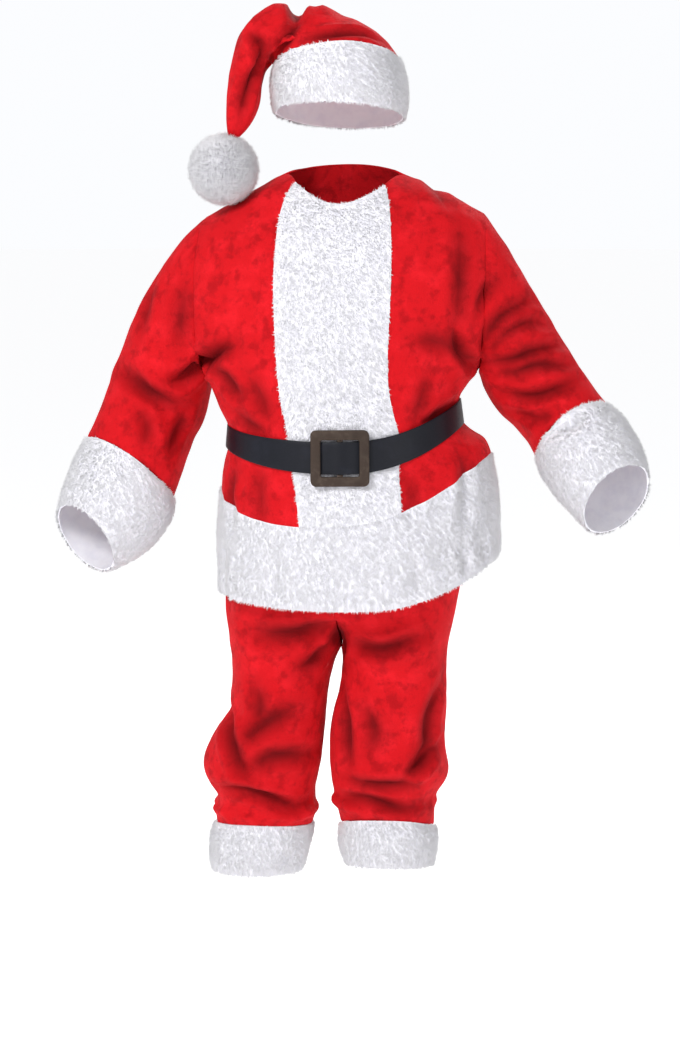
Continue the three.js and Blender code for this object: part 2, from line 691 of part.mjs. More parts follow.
function hatGrid(rows) {
  return gridRows(rows).map((t) => {
    const ring = levelAt(rows, t);
    const across = new THREE.Vector3(ring.outX - ring.inX, 0, ring.outZ - ring.inZ)
      .multiplyScalar(0.5);
    const centre = new THREE.Vector3((ring.outX + ring.inX) / 2, ring.y,
      (ring.outZ + ring.inZ) / 2);
    const ahead = new THREE.Vector3(0, -ring.deep, ring.dip);
    return range(HAT_RING + 1).map((i) => centre.clone()
      .addScaledVector(across, Math.cos(degrees((360 * i) / HAT_RING)))
      .addScaledVector(ahead, Math.sin(degrees((360 * i) / HAT_RING))));
  });
}

sheets.hat_band = new Sheet(hatGrid(HAT_BAND), new THREE.Vector3(-4, 0, 122));
sheets.hat_crown = new Sheet(hatGrid(HAT_CROWN), new THREE.Vector3(-100, -10, 200));

// ---------------------------------------------------------------- trousers

// A ring of one leg, or above the crotch its half of the trunk, open at the middle seams.
function legRing(level, row, folds) {
  const side = Math.sign(level.outer);
  const seamX = WAIST.middle + (side * SEAM_GAP) / 2;
  const reach = level.outer - seamX;
  const inner = level.closed < 1 ? seamX : level.inner;
  const centre = (level.outer + inner) / 2;
  const half = (level.outer - inner) / 2;
  return range(LEG_RING + 1).map((i) => {
    const share = i / LEG_RING;
    const trunkTurn = degrees(180 * share);
    const ahead = Math.cos(trunkTurn);
    const depth = ahead > 0 ? level.front : -level.back;
    const trunk = new THREE.Vector3(
      seamX + reach * power(Math.sin(trunkTurn), 2 / ROUND),
      depth * power(ahead, 2 / ROUND),
      level.z,
    );
    const legTurn = degrees(360 * share);
    const swell = level.closed < 1 ? 0 : foldDepth(folds, row, 360 * share);
    const forward = Math.sin(legTurn);
    const reachOut = (forward > 0 ? -level.front : level.back) + swell;
    const leg = new THREE.Vector3(
      centre - (half + side * swell) * power(Math.cos(legTurn), 2 / ROUND),
      -reachOut * power(forward, 2 / ROUND),
      level.z + level.rise * forward,
    );
    const point = trunk.lerp(leg, level.closed);
    return i === 0 || i === LEG_RING ? point.setX(level.closed < 1 ? seamX : point.x) : point;
  });
}

function legGrid(rows, folds) {
  return gridRows(rows).map((t, row) => legRing(levelAt(rows, t), row, folds));
}

const crotchRow = RIGHT_LEG.slice(0, CROTCH).reduce((sum, row) => sum + row.steps, 0);

function addLeg(side, legRows, cuffRows) {
  const grid = legGrid(legRows, LEG_FOLDS);
  relax(grid, 2, crotchRow + 1, 3);
  const cuff = legGrid(cuffRows, []);
  cuff[0] = grid[grid.length - 1].map((point) => point.clone());
  const knee = new THREE.Vector3(legRows[KNEE].outer / 2, 0, legRows[KNEE].z);
  const shin = knee.clone().setZ(cuffRows[1].z);
  sheets[`trouser_leg_${side}`] = new Sheet(grid, knee, { ringFrom: crotchRow, slit: true });
  sheets[`trouser_cuff_${side}`] = new Sheet(cuff, shin);
  return grid;
}

const rightLeg = addLeg("right", RIGHT_LEG, RIGHT_TROUSER_CUFF);
const leftLeg = addLeg("left", LEFT_LEG, LEFT_TROUSER_CUFF);

// The waistband stands on the top edge of both trouser halves.
function waistbandGrid() {
  const bottom = [
    ...rightLeg[0].slice().reverse(),
    ...leftLeg[0].slice(1),
  ];
  bottom[bottom.length - 1] = bottom[0];
  const top = bottom.map((point) => new THREE.Vector3(
    WAIST.middle + (point.x - WAIST.middle) * WAIST.drawSides,
    point.y * WAIST.drawDepth,
    WAIST.z,
  ));
  const seam = bottom.map((point) => point.clone());
  return [top, top.map((point, i) => point.clone().lerp(seam[i], 0.5)), seam];
}
sheets.waistband = new Sheet(waistbandGrid(), new THREE.Vector3(WAIST.middle, 0, WAIST.z));

// ---------------------------------------------------------------- belt

// The strap lies on the trunk, from just below the belt's top level to just above its bottom.
// Its columns are close together behind the buckle and wider apart round the rest.
const BEHIND = { turn: 15, columns: 12 };
const AROUND_COLUMNS = 55;
const strapTurns = [
  ...range(BEHIND.columns).map((i) => mix(-BEHIND.turn, BEHIND.turn, i / BEHIND.columns)),
  ...range(AROUND_COLUMNS + 1)
    .map((i) => mix(BEHIND.turn, 360 - BEHIND.turn, i / AROUND_COLUMNS)),
];

function strapSheet() {
  const places = [BELT_TOP + STRAP.inset, BELT_BOTTOM - STRAP.inset];
  const grid = places.map((t) => {
    const level = levelAt(JACKET_LEVELS, t);
    return strapTurns.map((turn) => trunkPoint(level, turn));
  });
  return new Sheet(grid, new THREE.Vector3(0, 0, grid[0][0].z));
}

// The strap's height above the trunk: a level bump over the middle bar, that ends at a small
// clearance inside the buckle's side bars.
function strapLift(point) {
  const away = Math.abs(point.x - BUCKLE.x);
  const reach = BUCKLE.wide / 2 - BUCKLE.rim - MIDDLE_BAR.clear;
  const overBar = point.y < 0 && away < reach
    ? 1.5 * Math.cos((Math.PI / 2) * (away / reach)) ** 2 : 0;
  return STRAP.lift + STRAP.bump * Math.min(overBar, 1);
}

// Outline of a rectangle with round corners, as a shape or a hole.
function roundedRectangle(Kind, wide, high, corner) {
  const outline = new Kind();
  const x = wide / 2 - corner;
  const y = high / 2 - corner;
  outline.absarc(x, y, corner, 0, Math.PI / 2);
  outline.absarc(-x, y, corner, Math.PI / 2, Math.PI);
  outline.absarc(-x, -y, corner, Math.PI, 1.5 * Math.PI);
  outline.absarc(x, -y, corner, 1.5 * Math.PI, 2 * Math.PI);
  return outline;
}

function toSolid(geometry) {
  geometry.deleteAttribute("normal");
  geometry.deleteAttribute("uv");
  const merged = mergeVertices(geometry);
  return new wasm.Manifold(new wasm.Mesh({
    numProp: 3,
    vertProperties: merged.attributes.position.array,
    triVerts: new Uint32Array(merged.index.array),
  }));
}

function fromSolid(solid) {
  const mesh = solid.getMesh();
  const geometry = new THREE.BufferGeometry();
  geometry.setAttribute("position", new THREE.Float32BufferAttribute(mesh.vertProperties, 3));
  geometry.setIndex([...mesh.triVerts]);
  return geometry;
}

// The buckle: a rounded frame with bevelled edges, and a thin middle bar at its back.
function buckleGeometry() {
  const { bevel } = BUCKLE;
  const frame = roundedRectangle(THREE.Shape, BUCKLE.wide - 2 * bevel, BUCKLE.high - 2 * bevel,
    BUCKLE.corner - bevel);
  frame.holes.push(roundedRectangle(THREE.Path, BUCKLE.wide - 2 * BUCKLE.rim + 2 * bevel,
    BUCKLE.high - 2 * BUCKLE.rim + 2 * bevel, BUCKLE.corner / 2));
  const plate = new THREE.ExtrudeGeometry(frame, {
    depth: BUCKLE.thick - 2 * bevel,
    bevelThickness: bevel,
    bevelSize: bevel,
    bevelSegments: 1,
    curveSegments: 3,
  });
  plate.translate(0, 0, bevel);
  const bar = new THREE.BoxGeometry(MIDDLE_BAR.wide, BUCKLE.high - BUCKLE.rim, MIDDLE_BAR.thick);
  bar.translate(0, 0, MIDDLE_BAR.thick / 2);
  return fromSolid(toSolid(plate).add(toSolid(bar)));
}

// The buckle sits square on the belt's front: x along the belt, y up, z outwards.
function placeBuckle(mesh) {
  const level = levelAt(JACKET_LEVELS, (BELT_TOP + BELT_BOTTOM) / 2);
  const turn = turnAt(level, BUCKLE.x);
  const centre = trunkPoint(level, turn);
  const side = trunkPoint(level, turn + 8).sub(trunkPoint(level, turn - 8)).normalize();
  const up = trunkPoint(levelAt(JACKET_LEVELS, BELT_TOP), turn)
    .sub(trunkPoint(levelAt(JACKET_LEVELS, BELT_BOTTOM), turn)).normalize();
  const out = side.clone().cross(up).normalize();
  up.copy(out).cross(side);
  mesh.matrixAutoUpdate = false;
  const place = centre.addScaledVector(out, BUCKLE.lift);
  mesh.matrix.makeBasis(side, up, out).setPosition(place);
  mesh.matrix.decompose(mesh.position, mesh.quaternion, mesh.scale);
}

// ---------------------------------------------------------------- the suit

function finish(color, roughness, metalness = 0) {
  return new THREE.MeshStandardMaterial({ color, roughness, metalness });
}

const RED_PLUSH = finish("#d0121c", 0.9);
const WHITE_PLUSH = finish("#f2f0f6", 0.95);
const BLACK_LEATHER = finish("#23242f", 0.45);
const OLD_BRASS = finish("#5a4a3c", 0.4, 0.85);

const suit = new THREE.Group();

function add(name, geometry, material) {
  const mesh = new THREE.Mesh(geometry, material);
  mesh.name = name;
  suit.add(mesh);
  return mesh;
}

for (const name of ["jacket_front_right", "jacket_front_left", "jacket_back", "sleeve_right",
  "sleeve_left", "hat_crown", "waistband", "trouser_leg_right", "trouser_leg_left"]) {
  add(name, wallGeometry(sheets[name]), RED_PLUSH);
}

// Pile of the front band, pressed flat where the belt crosses it.
function bandPile(row, column) {
  if (row >= levelRow(BELT_TOP) && row <= levelRow(BELT_BOTTOM)) {
    return TRIM_PRESSED;
  }
  if (row >= levelRow(BELT_TOP - 1) && row <= levelRow(BELT_BOTTOM + 1)) {
    return TRIM_NEAR_BELT;
  }
  return column === 0 || column === BAND_COLUMNS ? TRIM_EDGE : TRIM;
}

// Pile of a band that runs round a hem: full height, lower along its two edges.
function roundPile(sheet) {
  return (row) => (row === 0 || row === sheet.rows - 1 ? TRIM_EDGE : TRIM);
}

add("front_band", wallGeometry(sheets.front_band, bandPile), WHITE_PLUSH);
for (const name of ["hem_band", "cuff_right", "cuff_left", "hat_band", "trouser_cuff_right",
  "trouser_cuff_left"]) {
  add(name, wallGeometry(sheets[name], roundPile(sheets[name])), WHITE_PLUSH);
}

const pompom = new THREE.SphereGeometry(POMPOM.radius, 16, 12);
add("pompom", pompom, WHITE_PLUSH).position.set(POMPOM.x, POMPOM.y, POMPOM.z);

const strap = strapSheet();
const strapBack = (row, column) => strapLift(strap.points[row][column]);
const strapFace = (row, column) => strapBack(row, column) + STRAP.thick;
add("belt_strap", wallGeometry(strap, strapFace, strapBack), BLACK_LEATHER);
placeBuckle(add("buckle", buckleGeometry(), OLD_BRASS));

export default suit;
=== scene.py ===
# %% [markdown]
# # A plush santa suit, worn and hollow
# The suit is a set: a hat with a pompom, a jacket with a belt, and trousers. Its true shape comes
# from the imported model, which has each cut piece of cloth as a plain wall. This notebook takes the
# outer face of every wall, rounds it, lays the folds of soft plush in it, gives it its thickness
# again and dresses it: short red pile, long white pile made of tufts, leather and old metal.

# %% Load the fixed frame
import math

import bmesh
import bpy
import numpy as np
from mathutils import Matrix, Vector, noise
from mathutils.bvhtree import BVHTree
from mathutils.kdtree import KDTree


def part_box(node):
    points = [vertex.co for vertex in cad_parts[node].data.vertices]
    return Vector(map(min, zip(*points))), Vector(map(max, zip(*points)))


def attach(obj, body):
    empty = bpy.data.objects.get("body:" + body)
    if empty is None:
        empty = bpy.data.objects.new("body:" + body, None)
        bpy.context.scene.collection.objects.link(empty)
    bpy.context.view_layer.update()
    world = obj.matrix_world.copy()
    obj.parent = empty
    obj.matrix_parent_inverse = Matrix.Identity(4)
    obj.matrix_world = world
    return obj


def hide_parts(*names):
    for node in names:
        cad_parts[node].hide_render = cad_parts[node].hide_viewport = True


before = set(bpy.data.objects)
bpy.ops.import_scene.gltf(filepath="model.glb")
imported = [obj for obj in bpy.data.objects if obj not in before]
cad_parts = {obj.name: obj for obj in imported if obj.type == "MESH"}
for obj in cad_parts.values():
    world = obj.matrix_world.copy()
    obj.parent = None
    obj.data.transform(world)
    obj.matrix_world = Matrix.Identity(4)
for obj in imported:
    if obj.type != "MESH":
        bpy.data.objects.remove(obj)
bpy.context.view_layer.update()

MM = 0.001
print("nodes:", sorted(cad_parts))

# %% [markdown]
# ## Camera, floor and light
# The camera stands a little to the wearer's left and looks down on the suit by less than ten
# degrees, from four metres away, with a long lens. The floor is pale and lies where the wearer's
# soles would be. Two large soft lamps light the suit from the front, one brighter than the other,
# a third stands behind it, and an even white sky fills the shadows.

# %% Camera
LOOK_AT = Vector((-0.008, 0.0, -0.600))
STAND = Vector((0.4107, -3.9836, -0.0014))

camera_data = bpy.data.cameras.new("camera")
camera_data.sensor_width = 36
camera_data.lens = 82.2
camera = bpy.data.objects.new("camera", camera_data)
bpy.context.scene.collection.objects.link(camera)
camera.location = STAND
camera.rotation_mode = "QUATERNION"
camera.rotation_quaternion = (LOOK_AT - STAND).to_track_quat("-Z", "Y")
bpy.context.scene.camera = camera
print("camera to suit:", round((LOOK_AT - STAND).length, 2), "m")

# %% Floor
FLOOR_Z = -1.45
FLOOR_GLOW = 0.62


def only(piece=None):
    """Leaves nothing selected but this piece, and makes it the active one."""
    bpy.ops.object.select_all(action="DESELECT")
    if piece is not None:
        piece.select_set(True)
        bpy.context.view_layer.objects.active = piece


def plain_material(name, color, roughness, glow=0.0):
    """A material with one colour, for what isn't part of the suit."""
    made = bpy.data.materials.new(name)
    made.use_nodes = True
    shader = made.node_tree.nodes["Principled BSDF"]
    shader.inputs["Base Color"].default_value = (*color, 1)
    shader.inputs["Roughness"].default_value = roughness
    shader.inputs["Emission Color"].default_value = (1, 1, 1, 1)
    shader.inputs["Emission Strength"].default_value = glow
    return made


only()
bpy.ops.mesh.primitive_circle_add(vertices=96, radius=40, fill_type="NGON",
                                  location=(0, 0, FLOOR_Z))
floor = bpy.context.object
floor.name = "floor"
floor.data.materials.append(plain_material("pale floor", (0.80, 0.80, 0.81), 0.9, FLOOR_GLOW))
print("floor at", FLOOR_Z, "m")

# %% Sky: white where it is seen, softer as a light
SKY_AS_SEEN, SKY_AS_LIGHT = 1.0, 0.44

world = bpy.data.worlds.new("sky")
world.use_nodes = True
sky = world.node_tree.nodes["Background"]
sky.inputs["Color"].default_value = (0.97, 0.98, 1.0, 1)
level = world.node_tree.nodes.new("ShaderNodeMapRange")
level.inputs["To Min"].default_value = SKY_AS_LIGHT
level.inputs["To Max"].default_value = SKY_AS_SEEN
ray = world.node_tree.nodes.new("ShaderNodeLightPath")
world.node_tree.links.new(ray.outputs["Is Camera Ray"], level.inputs["Value"])
world.node_tree.links.new(level.outputs["Result"], sky.inputs["Strength"])
bpy.context.scene.world = world
bpy.context.scene.view_settings.view_transform = "Standard"
print("sky:", SKY_AS_SEEN, "seen,", SKY_AS_LIGHT, "as light")

# %% Lamps
# name, place, the point it is turned to, size in metres, watts
LAMPS = [
    ("key", (-1.7, -3.4, 2.2), (0, 0, -0.5), 1.2, 122),
    ("fill", (2.8, -3.0, 0.4), (0, 0, -0.6), 2.2, 26),
    ("back", (0.6, 3.2, 1.8), (0, 0, -0.4), 2.0, 75),
]


def lamp(name, at, aim, size, watts):
    """A square soft lamp, turned towards a point of the suit."""
    data = bpy.data.lights.new(name, "AREA")
    data.shape = "SQUARE"
    data.size = size
    data.energy = watts
    made = bpy.data.objects.new(name, data)
    bpy.context.scene.collection.objects.link(made)
    made.location = at
    made.rotation_euler = (Vector(aim) - Vector(at)).to_track_quat("-Z", "Y").to_euler()
    return made


for row in LAMPS:
    lamp(*row)

# %% [markdown]
# ## The outer face of a cloth wall
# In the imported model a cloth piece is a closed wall: an outer face, an inner face and narrow rims
# between them. The edges that cross the wall are as long as the wall is thick, so they are found
# by their length. Without the rims the wall falls apart into its two faces. The face that looks
# away from the middle of the piece is the outer one. Its triangles are then paired back into the
# squares that they were cut from, because squares subdivide into a smooth surface.

# %% Cloth walls and the pieces that have them
RED_WALLS = [3.0]
WHITE_WALLS = [4.0, 5.0, 6.5, 9.0]
STRAP_WALLS = [2.6]
RED = ["jacket_front_right", "jacket_front_left", "jacket_back", "sleeve_right", "sleeve_left",
       "hat_crown", "waistband", "trouser_leg_right", "trouser_leg_left"]
WHITE = ["front_band", "hem_band", "cuff_right", "cuff_left", "hat_band", "trouser_cuff_right",
         "trouser_cuff_left"]
print(len(RED), "red pieces and", len(WHITE), "white ones")

# %% Take a wall apart


def islands(bm):
    """The groups of faces of a mesh that hang together."""
    left = set(bm.faces)
    found = []
    while left:
        group, waiting = [], [left.pop()]
        while waiting:
            face = waiting.pop()
            group.append(face)
            for near in {f for e in face.edges for f in e.link_faces} & left:
                left.discard(near)
                waiting.append(near)
        found.append(group)
    return found


def looks_out(group):
    """How much a group of faces looks away from its own middle."""
    middle = sum((f.calc_center_median() for f in group), Vector()) / len(group)
    return sum(f.calc_area() * f.normal.dot(f.calc_center_median() - middle) for f in group)


# %% Pair triangles back into squares


def round_vertex(vertex):
    """The edges of an inner vertex, in their order round it."""
    loop, order = vertex.link_loops[0], []
    for _ in vertex.link_edges:
        order.append(loop.edge)
        loop = loop.link_loop_prev.link_loop_radial_next
    return order


def pair_triangles(bm):
    """Joins the triangles of a regular grid back into squares, and returns how many are left.
    Each triangle has an edge of each of three kinds: across, along and diagonal. At an inner
    vertex the kinds come round twice, so one known triangle tells all the others."""
    def clear(face):
        lengths = sorted(e.calc_length() for e in face.edges)
        return lengths[2] / lengths[1]

    seed = max(bm.faces, key=clear)
    kind = {e: i for i, e in enumerate(sorted(seed.edges, key=lambda e: -e.calc_length()))}
    waiting = list(kind)
    while waiting:
        edge = waiting.pop()
        new = {}
        for face in edge.link_faces:
            open_edges = [e for e in face.edges if e not in kind]
            if len(open_edges) == 1:
                new[open_edges[0]] = 3 - sum(kind[e] for e in face.edges if e in kind)
        for vertex in edge.verts:
            if vertex.is_boundary or len(vertex.link_edges) != 6:
                continue
            order = round_vertex(vertex)
            kinds = [kind.get(order[i], kind.get(order[i + 3])) for i in range(3)]
            if kinds.count(None) == 1:
                kinds[kinds.index(None)] = 3 - sum(k for k in kinds if k is not None)
            new.update((order[i + half], kinds[i]) for i in range(3) for half in (0, 3)
                       if kinds[i] is not None)
        for e, k in new.items():
            if e not in kind:
                kind[e] = k
                waiting.append(e)

    def length_of(k):
        return np.mean([e.calc_length() for e, own in kind.items() if own == k])

    diagonal = max(range(3), key=length_of)
    bmesh.ops.dissolve_edges(bm, edges=[e for e, k in kind.items() if k == diagonal],
                             use_verts=False)
    left = [f for f in bm.faces if len(f.verts) == 3]      # a strip has no inner vertex
    bmesh.ops.join_triangles(bm, faces=left, angle_face_threshold=math.pi,
                             angle_shape_threshold=math.pi)
    return sum(len(f.verts) != 4 for f in bm.faces)


# %% The outer face of every cloth piece and of the strap
MERGE = 0.01 * MM
WALL_MATCH = 0.03 * MM     # how closely an edge is as long as the wall is thick


def outer_face(node, walls):
    """The outer face of a node's wall as a new piece, in squares."""
    bm = bmesh.new()
    bm.from_mesh(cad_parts[node].data)
    bmesh.ops.remove_doubles(bm, verts=bm.verts, dist=MERGE)
    bm.normal_update()
    across = [e for e in bm.edges
              if any(abs(e.calc_length() - wall * MM) < WALL_MATCH for wall in walls)]
    rims = list({f for e in across for f in e.link_faces})
    bmesh.ops.delete(bm, geom=rims, context="FACES")
    groups = sorted(islands(bm), key=looks_out)
    bmesh.ops.delete(bm, geom=[f for g in groups[:-1] for f in g], context="FACES")
    odd = pair_triangles(bm)
    mesh = bpy.data.meshes.new(node)
    bm.to_mesh(mesh)
    bm.free()
    made = bpy.data.objects.new(node + ".cloth", mesh)
    bpy.context.scene.collection.objects.link(made)
    print(f"{node}: {len(groups)} faces of the wall, {len(mesh.polygons)} squares, {odd} odd")
    return made


skins = {node: outer_face(node, RED_WALLS) for node in RED}
skins.update({node: outer_face(node, WHITE_WALLS) for node in WHITE})
skins["belt_strap"] = outer_face("belt_strap", STRAP_WALLS)

# %% [markdown]
# ## Rounding the cloth
# The squares are three to four centimetres wide. A Subdivision Surface modifier rounds them into
# cloth with a vertex every few millimetres, fine enough for folds. It would also round the edge
# of a piece, and pull it away from the piece that it is sewn to, wherever one of the two has a
# corner and the other hasn't. So the points of an edge that lie on any piece's corner are held.

# %% The corners of all pieces
corner_points = []
for skin in skins.values():
    bm = bmesh.new()
    bm.from_mesh(skin.data)
    corner_points += [v.co.copy() for v in bm.verts if len(v.link_edges) == 2]
    bm.free()
corners = KDTree(len(corner_points))
for i, point in enumerate(corner_points):
    corners.insert(point, i)
corners.balance()
print("corners:", len(corner_points))

# %% Subdivide every piece, with its seam corners held
SEAM_REACH = 1.2 * MM      # points nearer than this are one point of a seam
FINE = 3                   # levels of subdivision


def apply_modifiers(piece):
    """Applies all modifiers of a piece."""
    only(piece)
    for name in [m.name for m in piece.modifiers]:
        bpy.ops.object.modifier_apply(modifier=name)


def subdivide(piece, levels):
    """Rounds a piece with a Subdivision Surface modifier."""
    step = piece.modifiers.new("round", "SUBSURF")
    step.levels = levels
    step.render_levels = levels
    step.boundary_smooth = "PRESERVE_CORNERS"
    apply_modifiers(piece)


for name, skin in skins.items():
    hold = skin.data.attributes.new("crease_vert", "FLOAT", "POINT")
    for vertex in skin.data.vertices:
        hold.data[vertex.index].value = corners.find(vertex.co)[2] < SEAM_REACH
    subdivide(skin, FINE)
print("vertices:", sum(len(s.data.vertices) for s in skins.values()))

# %% [markdown]
# ## Folds
# Plush is thick, so it bends in a few broad soft folds: at the armpits, in the bend of the
# elbows, over the belt, at the crotch, at the knees and where the trousers rest on their cuffs.
# Cloth simulation would put them anywhere, so they are listed one by one. Each fold is a short row
# of points on the suit, seen from the front, the back or above, with a depth and a half width. A ray
# finds the cloth behind each point. The cloth sinks along the line and swells a little beside it.

# %% The folds of the front
# depth, half width, then points (x, z), in millimetres
FRONT = [
    # right arm: the deep fold from the armpit to the elbow, and the bend of the elbow
    (17, 11, (-165, -283), (-200, -300), (-235, -325), (-262, -345), (-292, -358)),
    (9, 11, (-380, -333), (-345, -352), (-311, -374), (-262, -398)),
    (5, 13, (-258, -185), (-263, -240), (-270, -295)),
    (4, 12, (-315, -182), (-328, -226), (-337, -278)),
    (6, 10, (-262, -404), (-277, -438), (-288, -478)),
    (7, 11, (-208, -318), (-183, -343), (-155, -371)),
    (5, 10, (-340, -395), (-322, -425), (-330, -462)),
    # left arm: the armpit and the fan of folds that rises from it
    (13, 10, (190, -255), (196, -287), (207, -309), (222, -328)),
    (8, 9, (230, -290), (252, -250), (279, -229), (312, -213)),
    (6, 9, (239, -298), (268, -268), (306, -249), (338, -256)),
    (9, 9, (230, -318), (276, -312), (316, -296), (362, -288)),
    (7, 9, (247, -334), (288, -330), (326, -318), (379, -322)),
    (8, 9, (262, -368), (309, -372), (349, -361), (390, -346)),
    (5, 10, (223, -232), (232, -204), (266, -172)),
    (5, 9, (282, -400), (318, -408), (352, -396)),
    (5, 9, (330, -425), (372, -418), (404, -395)),
    (6, 12, (196, -92), (199, -148), (198, -211), (192, -262)),
    # chest and belly, over the belt
    (6, 12, (192, -296), (166, -277), (125, -276)),
    (6, 11, (-172, -396), (-150, -408), (-112, -425)),
    (5, 12, (-146, -336), (-122, -370), (-108, -405)),
    (5, 11, (152, -330), (140, -372), (130, -408)),
    (7, 11, (200, -372), (172, -392), (138, -410)),
    # skirt, below the belt
    (7, 12, (205, -462), (212, -510), (206, -575)),
    (6, 12, (-168, -482), (-178, -530), (-172, -590)),
    (4, 12, (-120, -480), (-124, -520), (-118, -570)),
    (4, 12, (120, -480), (128, -520), (122, -580)),
    # crotch and the tops of the legs
    (9, 13, (-150, -765), (-80, -762), (-30, -752), (0, -756)),
    (12, 12, (-4, -752), (-3, -785), (-2, -815)),
    (8, 12, (-20, -783), (-42, -812), (-70, -828)),
    (9, 11, (17, -776), (69, -786), (140, -764)),
    # left knee and shin
    (9, 11, (0, -866), (8, -912), (12, -954), (14, -995)),
    (9, 12, (168, -849), (150, -901), (143, -955), (119, -993)),
    (9, 10, (172, -948), (138, -980), (112, -1005)),
    (7, 9, (138, -1022), (100, -1016), (60, -1018), (6, -1011)),
    (7, 9, (-6, -1055), (43, -1043), (105, -1061), (156, -1060)),
    (6, 11, (40, -880), (60, -925), (52, -965)),
    # right knee and shin
    (10, 11, (-192, -905), (-188, -941), (-171, -981), (-149, -1013)),
    (8, 13, (-62, -890), (-123, -914), (-168, -952)),
    (7, 12, (-42, -978), (-104, -972), (-156, -996)),
    (10, 9, (-210, -1038), (-167, -1033), (-114, -1049), (-74, -1066), (-50, -1060)),
    (6, 11, (-140, -850), (-132, -890), (-142, -925)),
    # hat
    (9, 9, (-137, 217), (-126, 189), (-130, 164), (-146, 135), (-158, 107), (-163, 78)),
    (7, 8, (-76, 240), (-72, 226), (-83, 204), (-107, 187)),
    (7, 9, (-63, 200), (-14, 210), (35, 212), (66, 200)),
    (6, 7, (-150, 218), (-134, 201), (-128, 186)),
    # the soft folds of the hem and the front band
    (6, 9, (206, -600), (214, -660), (208, -735)),
    (5, 9, (240, -600), (246, -670), (243, -735)),
    (4, 11, (-186, -610), (-194, -670), (-188, -740)),
    (3, 12, (-90, -610), (-94, -670), (-88, -745)),
    (3, 12, (130, -610), (134, -670), (126, -745)),
]

# %% The folds of the back, which hangs in the same way
BACK = [
    (7, 14, (175, -285), (140, -318), (90, -340), (45, -345)),
    (8, 13, (-180, -282), (-135, -322), (-85, -342)),
    (6, 12, (-140, -420), (-70, -403), (10, -412)),
    (5, 11, (30, -385), (90, -393), (150, -415)),
    (3, 16, (-112, -110), (-122, -180), (-110, -250)),
    (3, 15, (120, -125), (133, -190), (118, -262)),
    (6, 13, (-64, -482), (-72, -540), (-66, -600)),
    (6, 12, (70, -480), (84, -535), (78, -600)),
    (5, 12, (-150, -482), (-158, -530), (-150, -590)),
    (5, 13, (160, -478), (168, -530), (160, -590)),
    (8, 12, (-12, -765), (-55, -792), (-120, -800)),
    (7, 12, (15, -768), (62, -800), (130, -790)),
    (9, 12, (-200, -925), (-135, -952), (-60, -930)),
    (7, 11, (-195, -985), (-125, -1002), (-65, -985)),
    (9, 12, (5, -922), (70, -952), (145, -925)),
    (8, 12, (10, -988), (80, -1012), (155, -985)),
    (6, 9, (-200, -1050), (-125, -1068), (-50, -1050)),
    (6, 9, (-5, -1048), (72, -1068), (155, -1050)),
    (8, 10, (-270, -322), (-320, -350), (-375, -345)),
    (6, 10, (-262, -372), (-312, -392), (-360, -388)),
    (5, 11, (-262, -190), (-282, -240), (-300, -285)),
    (8, 10, (238, -312), (290, -332), (352, -318)),
    (6, 9, (258, -352), (312, -368), (375, -350)),
    (5, 10, (235, -262), (282, -282), (330, -268)),
    (5, 9, (-110, 190), (-70, 160), (-22, 150)),
    (5, 9, (-20, 212), (10, 190), (40, 150)),
    (5, 9, (-90, -600), (-96, -660), (-88, -730)),
    (5, 9, (40, -600), (46, -670), (40, -735)),
    (4, 9, (150, -600), (158, -660), (150, -730)),
]

# %% The folds seen from above, as points (x, y); a depth below zero is a hump
TOP = [
    (10, 9, (-72, -70), (-75, -30), (-78, 15)),
    (-7, 15, (-112, -55), (-108, -20), (-104, 15)),
    (-5, 16, (-38, -60), (-34, -20), (-32, 15)),
    (4, 12, (-175, -60), (-150, -20), (-140, 30)),
    (4, 12, (175, -55), (152, -15), (145, 30)),
]
print(len(FRONT), "folds in front,", len(BACK), "behind and", len(TOP), "on top")

# %% [markdown]
# ## From points to lines on the cloth
# A smooth curve goes through the points of a fold, as a pencil line would. It is cut into short
# steps, and a ray from each step finds the cloth. Where the rays fall past the suit, or jump to a
# part behind it, the step is left out.

# %% Lines on the cloth
STEP = 8 * MM
JUMP = 6 * STEP        # a longer step has jumped to another part of the suit


def one_tree(pieces):
    """One search tree over the faces of several pieces."""
    points, faces = [], []
    for piece in pieces:
        start = len(points)
        points += [v.co.copy() for v in piece.data.vertices]
        faces += [[start + i for i in p.vertices] for p in piece.data.polygons]
    return BVHTree.FromPolygons(points, faces)


def through(points):
    """A smooth row of points through a few given ones, a step apart."""
    points = [Vector(p) for p in points]
    ends = [2 * points[0] - points[1]] + points + [2 * points[-1] - points[-2]]
    out = []
    for a, b, c, d in zip(ends, ends[1:], ends[2:], ends[3:]):
        count = max(2, round((c - b).length / STEP))
        for t in (i / count for i in range(count)):
            out.append(0.5 * (2 * b + (c - a) * t + (2 * a - 5 * b + 4 * c - d) * t ** 2
                              + (3 * b - a - 3 * c + d) * t ** 3))
    return out + [points[-1]]


def fold_line(tree, seen_from, points):
    """The line of a fold on the cloth and the cloth's normals there."""
    line, normals = [], []
    for p in through([(across * MM, up * MM) for across, up in points]):
        start = Vector((p.x, p.y, 1)) if seen_from.z else Vector((p.x, seen_from.y, p.y))
        hit, normal = tree.ray_cast(start, -seen_from)[:2]
        if hit is not None and (not line or (hit - line[-1]).length < JUMP):
            line.append(hit)
            normals.append(normal)
    return np.array(line), np.array(normals)


cloth_tree = one_tree([skin for name, skin in skins.items() if name != "belt_strap"])
folds = []
for seen_from, table in (((0, -1, 0), FRONT), ((0, 1, 0), BACK), ((0, 0, 1), TOP)):
    for depth, width, *points in table:
        line, line_normals = fold_line(cloth_tree, Vector(seen_from), points)
        if len(line) > 2:
            folds.append((depth * MM, width * MM, line, line_normals))
print("folds found on the cloth:", len(folds))

